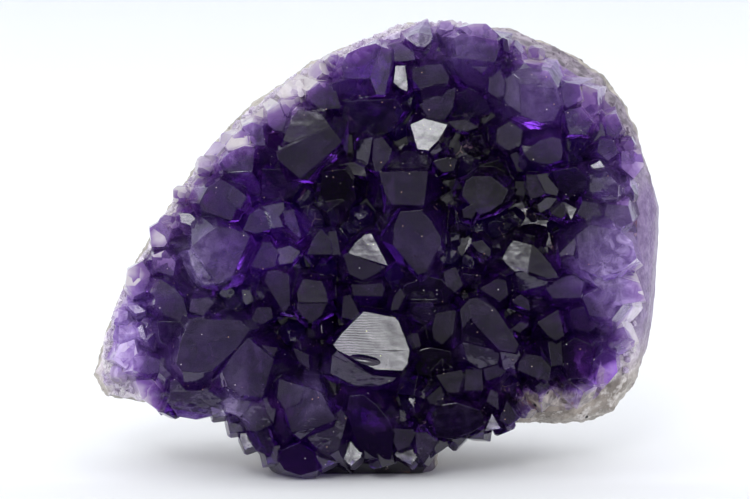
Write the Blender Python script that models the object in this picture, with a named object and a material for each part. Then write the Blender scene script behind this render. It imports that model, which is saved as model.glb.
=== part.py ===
"""Amethyst cluster: a crust of amethyst points grown on a lens of pale rock that stands on its flat foot.

Row frame: +Z up, the origin on the floor under the middle of the piece. The crystal face looks along -Y
and leans back a little. Places on that face are given as (u, v, h) in millimetres: u to the right, v up
along the leaning face, and h out of it towards the viewer.
"""

import math
import random

import bmesh
import bpy
from mathutils import Matrix, Vector, geometry, noise

MM = 0.001

# Driving dimensions, in millimetres and degrees
FACE_LEAN = 10.0
FACE_FOOT = (-0.1, -11.4, -0.8)
FACE_CENTRE = (3.0, 48.0)
BACK_DEPTH_LOW = 37.0
BACK_DEPTH_HIGH = 22.0
FACE_HEIGHT = 95.5
RIM_DROP = 7.0
BED_DOME = 5.0
BED_HALF_WIDTH = 64.0
BED_HALF_HEIGHT = 50.0
ROCK_LUMP = 2.6
ROCK_LUMP_SIZE = 17.0
ROCK_GRAIN = 0.9
ROCK_GRAIN_SIZE = 7.0
QUARTZ_LAYER = 2.2
QUARTZ_ROOT = 3.0
CLEARANCE = 0.35
WELD = 0.004
FLOOR_GAP = 0.2

# Rows of points round the lens of rock, and rings of them from the middle of its face to the middle of its back
SPOKES = 48
FRONT_STEPS = (0.0, 0.36, 0.7, 1.0)
SHOULDER_STEPS = ((0.55, 0.2), (0.16, 0.52), (0.0, 1.0))
BACK_STEPS = (0.96, 0.85, 0.68, 0.46, 0.24, 0.0)

# Outline of the piece, anticlockwise from the right: u, v and the width of bare rim inside it
OUTLINE = (
    (60.1, 57.0, 5.0),
    (57.8, 66.6, 4.0),
    (55.0, 73.7, 3.0),
    (52.1, 79.4, 3.0),
    (47.4, 84.9, 3.4),
    (41.0, 89.2, 3.6),
    (32.6, 93.0, 3.0),
    (24.2, 95.4, 1.8),
    (14.0, 96.1, 1.6),
    (5.0, 95.4, 1.8),
    (-3.7, 91.9, 2.0),
    (-12.5, 87.9, 2.2),
    (-19.5, 83.7, 2.6),
    (-28.7, 76.4, 2.6),
    (-36.4, 68.0, 2.6),
    (-42.8, 59.3, 2.6),
    (-48.5, 49.0, 2.4),
    (-54.2, 38.4, 2.4),
    (-57.7, 29.6, 2.6),
    (-60.5, 18.6, 7.0),
    (-57.5, 15.8, 7.0),
    (-46.5, 14.4, 2.4),
    (-33.5, 12.6, 2.0),
    (-26.0, 9.0, 2.2),
    (-19.5, -3.5, 3.0),
    (-4.0, -8.0, 4.0),
    (10.0, -5.0, 3.6),
    (14.5, 6.5, 2.4),
    (24.0, 9.6, 2.0),
    (35.0, 10.4, 3.2),
    (47.4, 11.0, 5.0),
    (54.4, 17.0, 5.6),
    (57.6, 27.6, 5.2),
    (58.8, 38.0, 4.6),
    (59.8, 48.0, 4.8),
)

# Swells and hollows of the bed that the crystals grow on: u, v, radius, height
BED_FORMS = (
    (26.0, 62.0, 13.0, -4.0),
    (-20.0, 11.0, 15.0, 3.5),
    (4.0, 10.0, 15.0, 2.0),
    (48.0, 41.0, 11.0, 2.5),
    (-34.0, 30.0, 12.0, 1.5),
)

# Quartz: a rhombohedral face stands at this angle to the plane across the crystal's long axis
FACE_SLOPE = 51.8
ROOT_DEPTH = 2.4
ROOT_NARROWS = 0.5

# The photograph's scale, and where its pixels lie on the face: millimetres to a pixel, the column under u = 0
# and the row of v = 0. It was taken from straight out of the face, at this u, v and distance
PIXEL = 0.21
MIDDLE_COLUMN = 375
FOOT_ROW = 475
VIEWPOINT = (0.0, 47.36)
VIEW_DISTANCE = 875.0

# The crystal ends that show, each by its largest end face: how far the face turns to the right and upwards, its
# height over the bed, and its corners as columns and rows of the photograph
ENDS = (
    (-4, 3, 8.0, (308, 92), (321, 83), (333, 84), (334, 96), (340, 108), (321, 109), (312, 102)),
    (3, 1, 10.0, (342, 66), (348, 54), (360, 48), (376, 44), (381, 47), (378, 60), (371, 78), (345, 78)),
    (12, 5, 9.6, (381, 47), (391, 50), (391, 62), (388, 76), (384, 95), (377, 94), (371, 78), (377, 60)),
    (0, -35, 8.0, (347, 79), (371, 79), (376, 94), (362, 98), (352, 94)),
    (5, -30, 7.8, (333, 84), (346, 80), (351, 95), (341, 108), (335, 97)),
    (6, -10, 7.0, (385, 47), (400, 43), (413, 52), (415, 59), (400, 61), (392, 60)),
    (0, 14, 9.0, (406, 38), (418, 33), (432, 36), (430, 42), (424, 47), (417, 46)),
    (0, -35, 7.2, (408, 41), (418, 47), (424, 47), (433, 41), (429, 51), (421, 59), (414, 52)),
    (-5, 15, 7.0, (396, 66), (405, 66), (407, 84), (407, 91), (400, 88), (394, 82)),
    (2, 2, 9.0, (413, 70), (425, 66), (441, 65), (448, 76), (447, 84), (432, 86), (421, 89), (414, 80)),
    (-4, -34, 8.4, (421, 89), (432, 86), (446, 86), (441, 96), (432, 104), (422, 99)),
    (3, -2, 8.0, (447, 92), (455, 88), (452, 108), (445, 118), (430, 119), (420, 105), (432, 104)),
    (-5, 15, 9.5, (411, 125), (424, 119), (447, 125), (438, 140), (428, 150), (418, 149)),
    (4, -6, 9.0, (437, 141), (441, 150), (433, 155), (428, 150)),
    (-12, -30, 6.0, (345, 102), (395, 100), (403, 112), (392, 130), (382, 135), (350, 130), (343, 118)),
    (3, 18, 10.6, (460, 28), (475, 24), (486, 24), (498, 35), (496, 40), (483, 39), (470, 36)),
    (0, 3, 11.0, (455, 38), (462, 34), (470, 36), (497, 41), (498, 50), (495, 60), (482, 73), (470, 62), (457, 56)),
    (0, -22, 10.0, (452, 58), (470, 62), (482, 73), (500, 63), (490, 78), (482, 87), (468, 84), (458, 74)),
    (8, -4, 9.5, (490, 72), (500, 71), (504, 82), (503, 95), (497, 97), (489, 92)),
    (4, 0, 8.5, (503, 38), (507, 40), (509, 52), (504, 50)),
    (-14, 2, 9.0, (505, 80), (516, 72), (521, 85), (527, 100), (520, 112), (508, 104), (501, 93)),
    (2, 0, 10.0, (521, 85), (540, 84), (557, 90), (560, 105), (553, 120), (540, 122), (522, 115), (527, 100)),
    (0, 22, 9.5, (512, 72), (530, 68), (548, 72), (557, 88), (540, 84), (521, 85)),
    (6, 0, 8.0, (561, 88), (566, 83), (578, 85), (582, 99), (568, 107), (561, 101)),
    (10, -32, 6.0, (454, 95), (470, 90), (486, 100), (490, 110), (470, 117), (453, 118)),
    (3, 5, 6.5, (448, 122), (465, 120), (478, 127), (466, 131), (455, 128)),
    (-8, 12, 5.0, (277, 94), (283, 87), (290, 81), (300, 80), (306, 90), (303, 96), (290, 100), (281, 98)),
    (-6, 4, 7.0, (268, 112), (280, 104), (285, 115), (291, 121), (284, 131), (275, 130), (268, 124)),
    (12, 2, 7.8, (281, 101), (293, 100), (297, 109), (291, 119), (285, 113)),
    (-3, 5, 7.5, (243, 127), (252, 123), (262, 126), (265, 145), (255, 145), (251, 135)),
    (-12, 12, 7.5, (226, 146), (232, 137), (241, 131), (249, 134), (249, 144), (236, 150), (228, 150)),
    (-5, 7, 11.0, (292, 119), (299, 110), (312, 112), (323, 117), (330, 128), (292, 143), (284, 140)),
    (-3, 0, 11.2, (292, 143), (330, 128), (341, 142), (335, 148), (316, 160), (300, 178), (279, 160), (277, 152)),
    (-3, 4, 8.0, (220, 164), (224, 158), (233, 151), (245, 146), (254, 147), (252, 171), (232, 173), (224, 170)),
    (4, -34, 6.5, (224, 174), (252, 172), (263, 190), (256, 196), (243, 190), (232, 182)),
    (-3, 2, 9.0, (208, 188), (220, 180), (233, 187), (237, 207), (231, 220), (220, 216), (203, 210), (200, 203)),
    (10, 3, 9.2, (233, 187), (246, 197), (240, 208), (237, 207), (229, 198)),
    (8, -34, 6.5, (263, 170), (280, 170), (300, 181), (291, 195), (283, 200), (262, 198)),
    (-2, 3, 8.0, (251, 214), (259, 209), (264, 212), (270, 229), (256, 233), (244, 230)),
    (4, 2, 8.6, (284, 212), (293, 210), (295, 224), (300, 237), (292, 231), (286, 224)),
    (-20, 10, 7.0, (262, 207), (283, 203), (284, 214), (286, 226), (270, 228), (266, 215)),
    (-5, 13, 6.0, (180, 213), (190, 214), (198, 222), (197, 227), (181, 222)),
    (-6, 2, 8.0, (374, 140), (382, 138), (391, 150), (388, 160), (380, 170), (376, 171), (373, 158)),
    (0, -26, 6.5, (390, 162), (405, 152), (425, 152), (431, 161), (427, 172), (412, 175), (385, 171)),
    (1, 2, 10.0, (380, 173), (410, 174), (427, 172), (425, 185), (423, 205), (393, 204), (387, 196), (384, 185)),
    (1, 1, 10.0, (394, 245), (395, 226), (401, 212), (420, 211), (430, 221), (440, 238), (440, 244), (425, 272),
     (418, 274), (408, 262)),
    (-25, -10, 6.0, (357, 142), (372, 138), (373, 158), (365, 166), (357, 158)),
    (-10, -25, 6.5, (322, 172), (345, 170), (353, 180), (355, 200), (345, 212), (330, 208), (322, 195)),
    (2, 8, 7.0, (340, 165), (352, 163), (364, 168), (366, 176), (352, 174)),
    (0, 2, 8.0, (434, 162), (447, 158), (456, 160), (453, 170), (444, 172), (438, 168)),
    (0, 3, 10.0, (464, 189), (467, 181), (473, 177), (490, 177), (507, 190), (502, 202), (490, 211), (480, 214),
     (463, 196)),
    (0, 0, 9.0, (463, 210), (472, 205), (476, 211), (472, 218), (464, 217)),
    (2, 3, 10.0, (524, 153), (541, 141), (552, 138), (560, 140), (562, 150), (560, 160), (549, 164), (530, 160)),
    (0, 0, 7.0, (511, 155), (517, 153), (524, 165), (523, 171), (518, 171)),
    (0, 2, 7.0, (516, 182), (524, 182), (525, 191), (524, 196), (516, 194)),
    (-2, 0, 8.5, (527, 175), (537, 175), (545, 186), (546, 193), (537, 197), (531, 198), (527, 188)),
    (12, 5, 8.0, (537, 175), (552, 173), (560, 185), (556, 195), (546, 193), (545, 185)),
    (0, -10, 7.5, (538, 205), (547, 198), (556, 199), (550, 207), (540, 212)),
    (-3, 0, 8.0, (552, 214), (563, 203), (568, 211), (562, 218)),
    (-5, 11, 8.0, (564, 203), (576, 209), (571, 219), (568, 212)),
    (-5, 12, 7.5, (591, 166), (600, 161), (606, 170), (598, 172)),
    (8, -4, 7.0, (498, 130), (510, 122), (522, 130), (520, 145), (508, 150), (497, 142)),
    (4, -25, 8.0, (552, 172), (575, 168), (587, 178), (583, 190), (570, 197), (560, 188)),
    (5, -12, 8.5, (590, 175), (606, 172), (618, 185), (617, 200), (602, 202), (590, 190)),
    (2, 4, 8.5, (583, 202), (596, 204), (600, 214), (590, 222), (578, 214)),
    (3, 3, 11.0, (577, 236), (590, 226), (618, 230), (632, 242), (636, 258), (622, 270), (600, 276), (580, 268)),
    (-35, 5, 10.0, (560, 254), (577, 236), (573, 255), (566, 263)),
    (-12, -15, 10.0, (562, 262), (572, 256), (586, 272), (592, 281), (576, 273)),
    (-3, 3, 8.0, (547, 289), (560, 279), (574, 275), (583, 282), (580, 297), (553, 298)),
    (0, 2, 9.0, (583, 297), (600, 288), (618, 290), (622, 305), (612, 318), (590, 315)),
    (6, 6, 8.8, (590, 280), (612, 276), (640, 284), (645, 300), (622, 304), (600, 288)),
    (-5, 10, 10.0, (503, 259), (509, 247), (514, 241), (533, 246), (528, 270), (515, 271), (507, 264)),
    (2, 6, 10.0, (533, 246), (540, 253), (550, 265), (558, 277), (548, 278), (528, 271)),
    (0, -9, 9.0, (516, 272), (530, 273), (549, 279), (546, 284), (520, 291), (518, 280)),
    (-3, 6, 9.5, (152, 293), (160, 280), (175, 290), (183, 299), (168, 301), (156, 298)),
    (-2, 0, 9.5, (156, 298), (168, 301), (183, 299), (187, 314), (181, 321), (165, 315), (155, 305)),
    (-1, 4, 9.5, (192, 300), (209, 298), (213, 303), (203, 315), (190, 311)),
    (2, 4, 12.0, (192, 247), (203, 237), (218, 227), (232, 229), (249, 238), (241, 252), (232, 275), (218, 283),
     (206, 267)),
    (-14, -8, 11.0, (190, 250), (198, 258), (216, 283), (205, 284), (196, 273), (191, 262)),
    (-5, 15, 5.0, (128, 306), (137, 305), (145, 311), (136, 313)),
    (-5, 12, 6.0, (138, 328), (142, 325), (147, 342), (141, 337)),
    (-6, 4, 7.0, (152, 256), (165, 251), (175, 262), (173, 275), (155, 271)),
    (-2, 1, 12.0, (190, 320), (213, 324), (240, 321), (249, 330), (238, 346), (213, 369), (200, 372), (183, 371),
     (177, 364), (181, 343)),
    (-8, -34, 7.5, (158, 322), (186, 322), (180, 342), (172, 352), (160, 340)),
    (0, 4, 8.5, (308, 254), (313, 241), (321, 230), (330, 240), (331, 254)),
    (8, 2, 8.0, (330, 232), (335, 231), (340, 254), (331, 254)),
    (0, 2, 9.0, (252, 266), (262, 258), (263, 243), (270, 243), (277, 253), (274, 266), (262, 269)),
    (-2, 0, 9.0, (265, 281), (268, 272), (277, 271), (288, 275), (289, 305), (284, 312), (279, 300)),
    (0, 6, 9.5, (304, 280), (321, 282), (326, 295), (327, 302), (299, 302), (298, 292)),
    (0, 0, 9.5, (299, 302), (327, 302), (321, 315), (312, 322), (303, 316), (298, 309)),
    (0, 1, 8.0, (258, 308), (270, 308), (272, 318), (262, 324), (252, 320)),
    (-5, 11, 9.5, (365, 235), (371, 234), (387, 265), (349, 253), (356, 243)),
    (-1, 2, 9.5, (344, 256), (349, 253), (387, 265), (378, 272), (363, 280), (350, 274)),
    (0, 2, 8.5, (352, 285), (370, 286), (381, 284), (384, 289), (382, 296), (354, 295)),
    (0, 2, 7.5, (344, 297), (350, 296), (358, 313), (352, 319), (342, 317)),
    (15, 15, 7.5, (276, 250), (290, 246), (300, 252), (292, 262), (280, 264)),
    (0, -26, 6.5, (404, 286), (428, 277), (441, 280), (452, 292), (445, 303), (415, 302), (405, 296)),
    (0, -28, 7.0, (411, 303), (432, 303), (438, 316), (425, 325), (410, 316)),
    (-3, 0, 7.0, (392, 310), (394, 297), (400, 289), (404, 297), (398, 309)),
    (0, 5, 7.5, (472, 243), (482, 241), (490, 250), (490, 256), (478, 251)),
    (3, 2, 7.0, (444, 272), (455, 268), (462, 285), (455, 292), (446, 284)),
    (0, 3, 9.5, (469, 300), (477, 299), (497, 312), (518, 345), (515, 352), (500, 350), (478, 327), (469, 315)),
    (6, -6, 9.6, (500, 350), (516, 346), (520, 356), (514, 364), (504, 368)),
    (-2, 0, 8.5, (433, 330), (437, 314), (455, 311), (452, 334), (442, 344), (434, 338)),
    (-6, 0, 9.0, (461, 310), (468, 302), (471, 316), (463, 327)),
    (-12, -28, 7.5, (466, 320), (480, 330), (497, 349), (478, 346), (462, 341), (463, 328)),
    (0, 2, 9.5, (412, 334), (417, 334), (420, 346), (411, 347)),
    (0, 0, 8.0, (481, 289), (497, 280), (505, 281), (507, 295), (500, 301), (490, 295)),
    (0, 0, 7.5, (513, 301), (521, 295), (528, 301), (529, 310), (519, 306)),
    (-2, 3, 8.5, (538, 323), (558, 311), (561, 325), (563, 336), (556, 340), (548, 335)),
    (0, 0, 8.0, (549, 343), (561, 339), (562, 364), (552, 366)),
    (0, 3, 7.0, (512, 329), (520, 323), (528, 325), (520, 332)),
    (2, -12, 8.0, (571, 311), (590, 306), (600, 322), (588, 332), (574, 328)),
    (-3, 5, 6.6, (134, 358), (147, 356), (161, 361), (162, 371), (148, 374), (134, 370)),
    (-5, 8, 7.5, (161, 360), (170, 356), (177, 362), (172, 374), (166, 378), (160, 372)),
    (-3, -4, 8.0, (171, 382), (183, 377), (196, 376), (212, 381), (220, 396), (223, 413), (196, 419), (178, 416),
     (170, 404)),
    (-8, -6, 5.0, (136, 381), (152, 380), (168, 392), (168, 408), (160, 411), (142, 398)),
    (-1, 1, 12.0, (248, 339), (262, 351), (273, 360), (267, 371), (262, 397), (240, 394), (228, 386), (223, 372),
     (232, 358)),
    (0, 3, 10.5, (263, 346), (277, 349), (273, 357)),
    (0, 0, 8.0, (294, 349), (308, 356), (309, 368), (299, 361)),
    (-5, 3, 12.0, (280, 380), (304, 387), (300, 402), (285, 409), (278, 398)),
    (1, -2, 12.0, (304, 387), (321, 394), (334, 420), (316, 427), (292, 432), (285, 409), (300, 402)),
    (1, -3, 9.5, (308, 438), (322, 429), (341, 410), (347, 417), (343, 431), (338, 450), (328, 453), (316, 447)),
    (-4, 6, 9.5, (223, 401), (233, 395), (252, 398), (248, 408), (240, 416), (228, 412)),
    (-4, -3, 8.5, (248, 402), (262, 398), (271, 424), (258, 431), (247, 430), (242, 418)),
    (12, 0, 8.0, (263, 396), (272, 392), (277, 401), (273, 422), (267, 412)),
    (-5, -6, 8.0, (247, 434), (258, 432), (268, 429), (273, 446), (270, 456), (256, 450)),
    (-30, -10, 7.5, (277, 403), (283, 415), (291, 432), (287, 438), (274, 430), (272, 424)),
    (0, -22, 8.0, (283, 450), (300, 443), (312, 452), (318, 470), (300, 475), (285, 470), (279, 460)),
    (-6, 13, 12.0, (334, 345), (342, 334), (364, 312), (394, 318), (398, 321), (409, 350), (407, 364), (402, 370),
     (376, 369), (338, 350)),
    (-1, -6, 10.6, (333, 356), (338, 351), (376, 369), (402, 371), (392, 381), (376, 386), (355, 385), (331, 373)),
    (6, -24, 9.0, (350, 396), (363, 395), (375, 404), (388, 420), (392, 432), (391, 460), (375, 458), (360, 447),
     (347, 412)),
    (0, 0, 7.5, (392, 438), (396, 429), (412, 430), (415, 434), (409, 446), (398, 450)),
    (0, -2, 8.0, (416, 433), (425, 433), (437, 441), (429, 455), (424, 463), (418, 455)),
    (2, -26, 9.0, (434, 418), (442, 405), (456, 403), (480, 411), (484, 424), (470, 433), (450, 439), (437, 437)),
    (0, 2, 8.5, (437, 376), (446, 374), (461, 371), (463, 376), (458, 392), (448, 392)),
    (0, 0, 7.5, (427, 398), (441, 386), (443, 396), (440, 405), (430, 403)),
    (0, 2, 8.0, (466, 370), (481, 370), (482, 390), (465, 390)),
    (8, -28, 7.0, (412, 352), (430, 348), (450, 352), (452, 368), (436, 376), (418, 374)),
    (-2, -4, 8.5, (463, 343), (480, 347), (500, 352), (497, 363), (480, 368), (468, 360)),
    (0, 0, 8.0, (484, 369), (500, 363), (508, 368), (500, 376), (487, 380)),
    (1, 2, 9.0, (519, 362), (527, 355), (541, 357), (550, 368), (548, 380), (535, 377), (519, 370)),
    (0, 4, 7.5, (487, 401), (491, 390), (497, 393), (498, 409)),
    (0, 0, 7.5, (500, 420), (507, 402), (519, 418), (510, 425)),
    (-5, 13, 8.0, (486, 430), (492, 415), (500, 428)),
    (3, 2, 7.0, (536, 386), (545, 380), (549, 386), (541, 401)),
    (-4, -22, 8.0, (563, 346), (575, 338), (590, 345), (593, 360), (587, 378), (570, 378), (564, 364)),
    (5, -20, 8.0, (588, 378), (592, 362), (603, 351), (615, 357), (617, 372), (608, 383), (595, 384)),
    (3, 0, 7.0, (583, 85), (597, 90), (597, 112), (590, 119), (582, 112)),
    (8, 2, 6.0, (606, 116), (616, 114), (622, 128), (616, 138), (607, 134)),
    (5, 0, 7.0, (600, 140), (612, 140), (618, 152), (608, 160), (598, 152)),
    (10, -5, 6.5, (622, 152), (640, 150), (644, 165), (634, 178), (622, 168)),
    (5, 5, 8.0, (608, 205), (628, 206), (632, 222), (618, 228), (604, 220)),
    (4, -6, 7.5, (565, 112), (580, 108), (592, 122), (586, 134), (570, 134)),
    (-12, 2, 5.0, (128, 270), (142, 262), (150, 272), (148, 290), (134, 296), (126, 284)),
    (-8, 8, 5.5, (150, 228), (160, 222), (170, 232), (166, 246), (152, 246)),
    (-10, 0, 5.5, (120, 345), (134, 340), (138, 356), (126, 368), (114, 360)),
)
END_SEED = 17
END_OVERLAP = 0.12
SIDE_SLOPES = (56, 80)
SHARP_CORNER = 100
CORNER_SLOPE = 82
LEAST_ROOM = 0.4

# The lesser crystals between and around them: tip u, tip v, radius
LESSER = (
    (38.0, 31.2, 3.8),
    (41.2, 79.2, 3.8),
    (45.2, 76.0, 3.5),
    (49.8, 72.6, 4.2),
    (53.0, 60.7, 3.8),
    (-47.3, 28.6, 4.0),
    (-53.4, 29.8, 3.3),
    (-52.6, 24.0, 3.5),
    (-42.6, 48.6, 3.1),
    (-33.0, 67.0, 3.3),
    (-29.0, 71.0, 3.5),
    (-10.9, 84.2, 3.3),
    (-16.0, 54.0, 4.0),
    (-10.0, 55.0, 4.5),
    (-12.0, 61.0, 4.5),
    (34.7, 16.8, 4.2),
    (14.0, 23.0, 4.5),
    (15.0, 19.0, 4.0),
    (8.0, 17.0, 4.0),
    (43.4, 17.6, 4.0),
    (22.0, 42.0, 4.0),
    (28.0, 46.0, 4.2),
    (33.0, 50.0, 4.2),
    (36.0, 44.0, 3.8),
    (17.0, 53.0, 4.0),
    (1.0, 61.0, 4.5),
    (22.0, 71.0, 4.0),
    (26.0, 66.0, 4.0),
    (34.0, 36.0, 4.0),
    (30.0, 31.0, 3.6),
    (-15.0, 26.0, 4.2),
    (-11.0, 30.0, 4.0),
    (-37.0, 42.0, 3.8),
    (48.0, 27.0, 3.8),
    (52.7, 29.0, 4.0),
    (29.0, 90.0, 3.5),
    (2.2, 53.0, 3.4),
    (14.9, 48.7, 3.8),
    (-24.0, 35.7, 3.6),
    (22.8, 21.5, 3.6),
    (-11.0, 75.0, 3.6),
)
LESSER_SEED = 41
FAN_OUT = 26.0

# The crystals of the lower edge, which hang out over it: tip u, tip v, radius
HANGING = (
    (-44.1, 13.4, 2.8),
    (-33.6, 12.6, 2.8),
    (-30.0, 9.2, 3.0),
    (-27.0, 5.8, 3.0),
    (-22.4, 2.8, 3.0),
    (-10.8, 1.8, 3.2),
    (-5.0, 2.4, 3.4),
    (1.2, 2.0, 3.4),
    (7.4, 2.6, 3.4),
    (12.8, 5.0, 3.2),
    (17.4, 6.4, 3.2),
    (22.6, 7.8, 3.2),
    (27.6, 9.4, 2.8),
)
HANG_LEAN = 38.0
HANG_LENGTH = 8.5


def face_point(u, v, h):
    """A place on the leaning face, in millimetres, as a point of the row frame in metres."""
    lean = math.radians(FACE_LEAN)
    right = Vector((1.0, 0.0, 0.0))
    up = Vector((0.0, math.sin(lean), math.cos(lean)))
    out = right.cross(up)
    return (Vector(FACE_FOOT) + right * u + up * v + out * h) * MM


def face_turn():
    """The rotation that takes the face's u, v and h directions to the row frame's."""
    return Matrix.Rotation(math.radians(90.0 - FACE_LEAN), 4, "X")


def closed_spline(controls, count):
    """Points evenly spaced along a smooth closed curve through the control points."""
    dense = []
    total = len(controls)
    for i in range(total):
        a, b, c, d = (Vector(controls[(i + k - 1) % total]) for k in range(4))
        for step in range(12):
            t = step / 12
            dense.append(
                0.5 * (2 * b + (c - a) * t + (2 * a - 5 * b + 4 * c - d) * t**2 + (3 * b - a - 3 * c + d) * t**3)
            )
    lengths = [(dense[i].xy - dense[i - 1].xy).length for i in range(len(dense))]
    spacing = sum(lengths) / count
    points, run = [], 0.0
    for i, point in enumerate(dense):
        start = dense[i - 1]
        while len(points) < count and run + lengths[i] >= len(points) * spacing:
            share = (len(points) * spacing - run) / max(lengths[i], 1e-9)
            points.append(start.lerp(point, share))
        run += lengths[i]
    return points


RIM = closed_spline(OUTLINE, SPOKES)


def bed_height(u, v):
    """Height of the bed, which is the front of the rock, over the face's plane."""
    across = (u - FACE_CENTRE[0]) / BED_HALF_WIDTH
    along = (v - FACE_CENTRE[1]) / BED_HALF_HEIGHT
    height = BED_DOME * (1 - across**2 - along**2)
    for form_u, form_v, radius, rise in BED_FORMS:
        reach = ((u - form_u) ** 2 + (v - form_v) ** 2) / radius**2
        height += rise * math.exp(-reach)
    return height


def spoke_point(spoke, inset, share):
    """A place along a spoke: inset millimetres inside the outline, then this share of the way from the centre."""
    centre = Vector(FACE_CENTRE)
    out = RIM[spoke].xy - centre
    edge = centre + out * (1 - inset / out.length)
    return centre.lerp(edge, share)


def rock_place(ring, spoke):
    """Where a ring and a spoke of the lens of rock meet."""
    rim_width = RIM[spoke].z
    shoulder = len(FRONT_STEPS)
    back = shoulder + len(SHOULDER_STEPS)
    if ring < shoulder:
        place = spoke_point(spoke, rim_width, FRONT_STEPS[ring])
        return face_point(*place, bed_height(*place))
    if ring < back:
        width_share, drop_share = SHOULDER_STEPS[ring - shoulder]
        place = spoke_point(spoke, rim_width * width_share, 1.0)
        edge_height = bed_height(*spoke_point(spoke, rim_width, 1.0))
        return face_point(*place, edge_height + (-RIM_DROP - edge_height) * drop_share)
    share = BACK_STEPS[ring - back]
    place = spoke_point(spoke, 0.0, share)
    depth = BACK_DEPTH_LOW + (BACK_DEPTH_HIGH - BACK_DEPTH_LOW) * place.y / FACE_HEIGHT
    bulge = (1 - share**2.2) ** 0.55
    return face_point(*place, -RIM_DROP - (depth - RIM_DROP) * bulge)


def quartz_place(ring, spoke):
    """Where a ring and a spoke of the quartz layer meet. Its back lies in the rock until the rock is cut from it."""
    rim_width = RIM[spoke].z + 0.3
    front = len(FRONT_STEPS)
    if ring < front:
        place = spoke_point(spoke, rim_width, FRONT_STEPS[ring])
        thick = QUARTZ_LAYER if ring < front - 1 else 0.5 * QUARTZ_LAYER
        return face_point(*place, bed_height(*place) + thick)
    share = FRONT_STEPS[2 * front - 1 - ring]
    place = spoke_point(spoke, rim_width + 1.2, share)
    return face_point(*place, bed_height(*place) - QUARTZ_ROOT)


def shaped_ball(name, rings, place):
    """A UV sphere whose pole looks out of the face, each of its points moved to place(ring, spoke)."""
    bm = bmesh.new()
    bmesh.ops.create_uvsphere(bm, u_segments=SPOKES, v_segments=rings, radius=1.0)
    for vert in bm.verts:
        spoke = round(math.atan2(vert.co.y, vert.co.x) / math.tau * SPOKES) % SPOKES
        ring = round(math.acos(max(-1.0, min(1.0, vert.co.z))) / math.pi * rings)
        vert.co = place(ring, spoke)
    return finished(name, bm)


def finished(name, bm):
    """A new object, in no collection yet, that takes the mesh just made."""
    mesh = bpy.data.meshes.new(name)
    bm.to_mesh(mesh)
    bm.free()
    return bpy.data.objects.new(name, mesh)


def roughen_rock(bm):
    """Broad lumps and a finer grain, full on the back of the rock, less on its sides and none on the bed."""
    bm.normal_update()
    out = face_point(0, 0, 1) - face_point(0, 0, 0)
    moves = []
    for vert in bm.verts:
        share = min(1.0, max(0.0, 0.3 - 0.9 * vert.normal.dot(out.normalized())))
        place = vert.co / MM
        lump = noise.noise(place / ROCK_LUMP_SIZE) * ROCK_LUMP + noise.noise(place / ROCK_GRAIN_SIZE) * ROCK_GRAIN
        moves.append(vert.normal * lump * share * MM)
    for vert, move in zip(bm.verts, moves):
        vert.co += move


def cut_flat(bm, point, normal):
    """Takes away what lies beyond a plane and closes the cut with one flat face."""
    whole = bm.verts[:] + bm.edges[:] + bm.faces[:]
    cut = bmesh.ops.bisect_plane(bm, geom=whole, dist=1e-8, plane_co=point, plane_no=normal, clear_outer=True)
    edges = [piece for piece in cut["geom_cut"] if isinstance(piece, bmesh.types.BMEdge)]
    if edges:
        bmesh.ops.contextual_create(bm, geom=edges)


def crystal(radius, length, roll, three, draw):
    """One quartz point along +Z with its foot at the origin: a six-sided prism cut by its six end faces."""
    bm = bmesh.new()
    bmesh.ops.create_cone(
        bm, cap_ends=True, segments=6, radius1=radius, radius2=radius, depth=length,
        matrix=Matrix.Translation((0, 0, length / 2)) @ Matrix.Rotation(math.radians(roll), 4, "Z"),
    )
    foot = min(bm.faces, key=lambda face: face.calc_center_median().z)
    root = bmesh.ops.extrude_discrete_faces(bm, faces=[foot])["faces"][0]
    for vert in root.verts:
        vert.co = Vector((vert.co.x * ROOT_NARROWS, vert.co.y * ROOT_NARROWS, -ROOT_DEPTH))
    slope = math.radians(FACE_SLOPE)
    for face_number in range(6):
        around = math.radians(roll + 90 + 60 * face_number)
        normal = Vector((math.sin(slope) * math.cos(around), math.sin(slope) * math.sin(around), math.cos(slope)))
        pushed = (three * 0.34 if face_number % 2 else 0.0) + draw.uniform(0.0, 0.07)
        tip = Vector((0, 0, length)) + normal * (pushed - 0.035) * radius
        cut_flat(bm, tip, normal)
    bmesh.ops.dissolve_degenerate(bm, dist=0.01, edges=bm.edges)
    bmesh.ops.scale(bm, vec=(MM, MM, MM), verts=bm.verts)
    return bm


def stand_crystal(bm, tip_u, tip_v, point, length, turn):
    """Adds one crystal to bm, turned, and rooted so that its tip comes to its place on the face."""
    aim = turn.col[2].xyz
    foot_u = tip_u - aim.x * length
    foot_v = tip_v - aim.y * length
    foot = face_point(foot_u, foot_v, bed_height(foot_u, foot_v))
    point.transform(Matrix.Translation(foot) @ face_turn() @ turn)
    add_solid(bm, point)


def add_solid(bm, solid):
    """Adds one closed solid to the solids gathered in bm."""
    mesh = bpy.data.meshes.new("solid")
    solid.to_mesh(mesh)
    solid.free()
    bm.from_mesh(mesh)
    bpy.data.meshes.remove(mesh)


def towards(right, up):
    """The direction, on the face's axes, that is turned this far to the right and upwards from straight out."""
    return Vector((math.tan(math.radians(right)), math.tan(math.radians(up)), 1.0)).normalized()


def room_left(place):
    """How far a place on the face is from the bare rim, seen from the middle of the face."""
    out = place - Vector(FACE_CENTRE)
    rim = max(RIM, key=lambda spot: (spot.xy - Vector(FACE_CENTRE)).normalized().dot(out.normalized()))
    return (rim.xy - Vector(FACE_CENTRE)).length - rim.z - out.length


def steep_cut(bm, place, along, outwards, slope):
    """Cuts a block by a plane that holds the direction along and falls outwards at this slope."""
    down = outwards * math.cos(slope) - Vector((0, 0, math.sin(slope)))
    side = along.cross(down).normalized()
    if side.dot(outwards) < 0:
        side = -side
    cut_flat(bm, place + outwards * END_OVERLAP, side)


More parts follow.
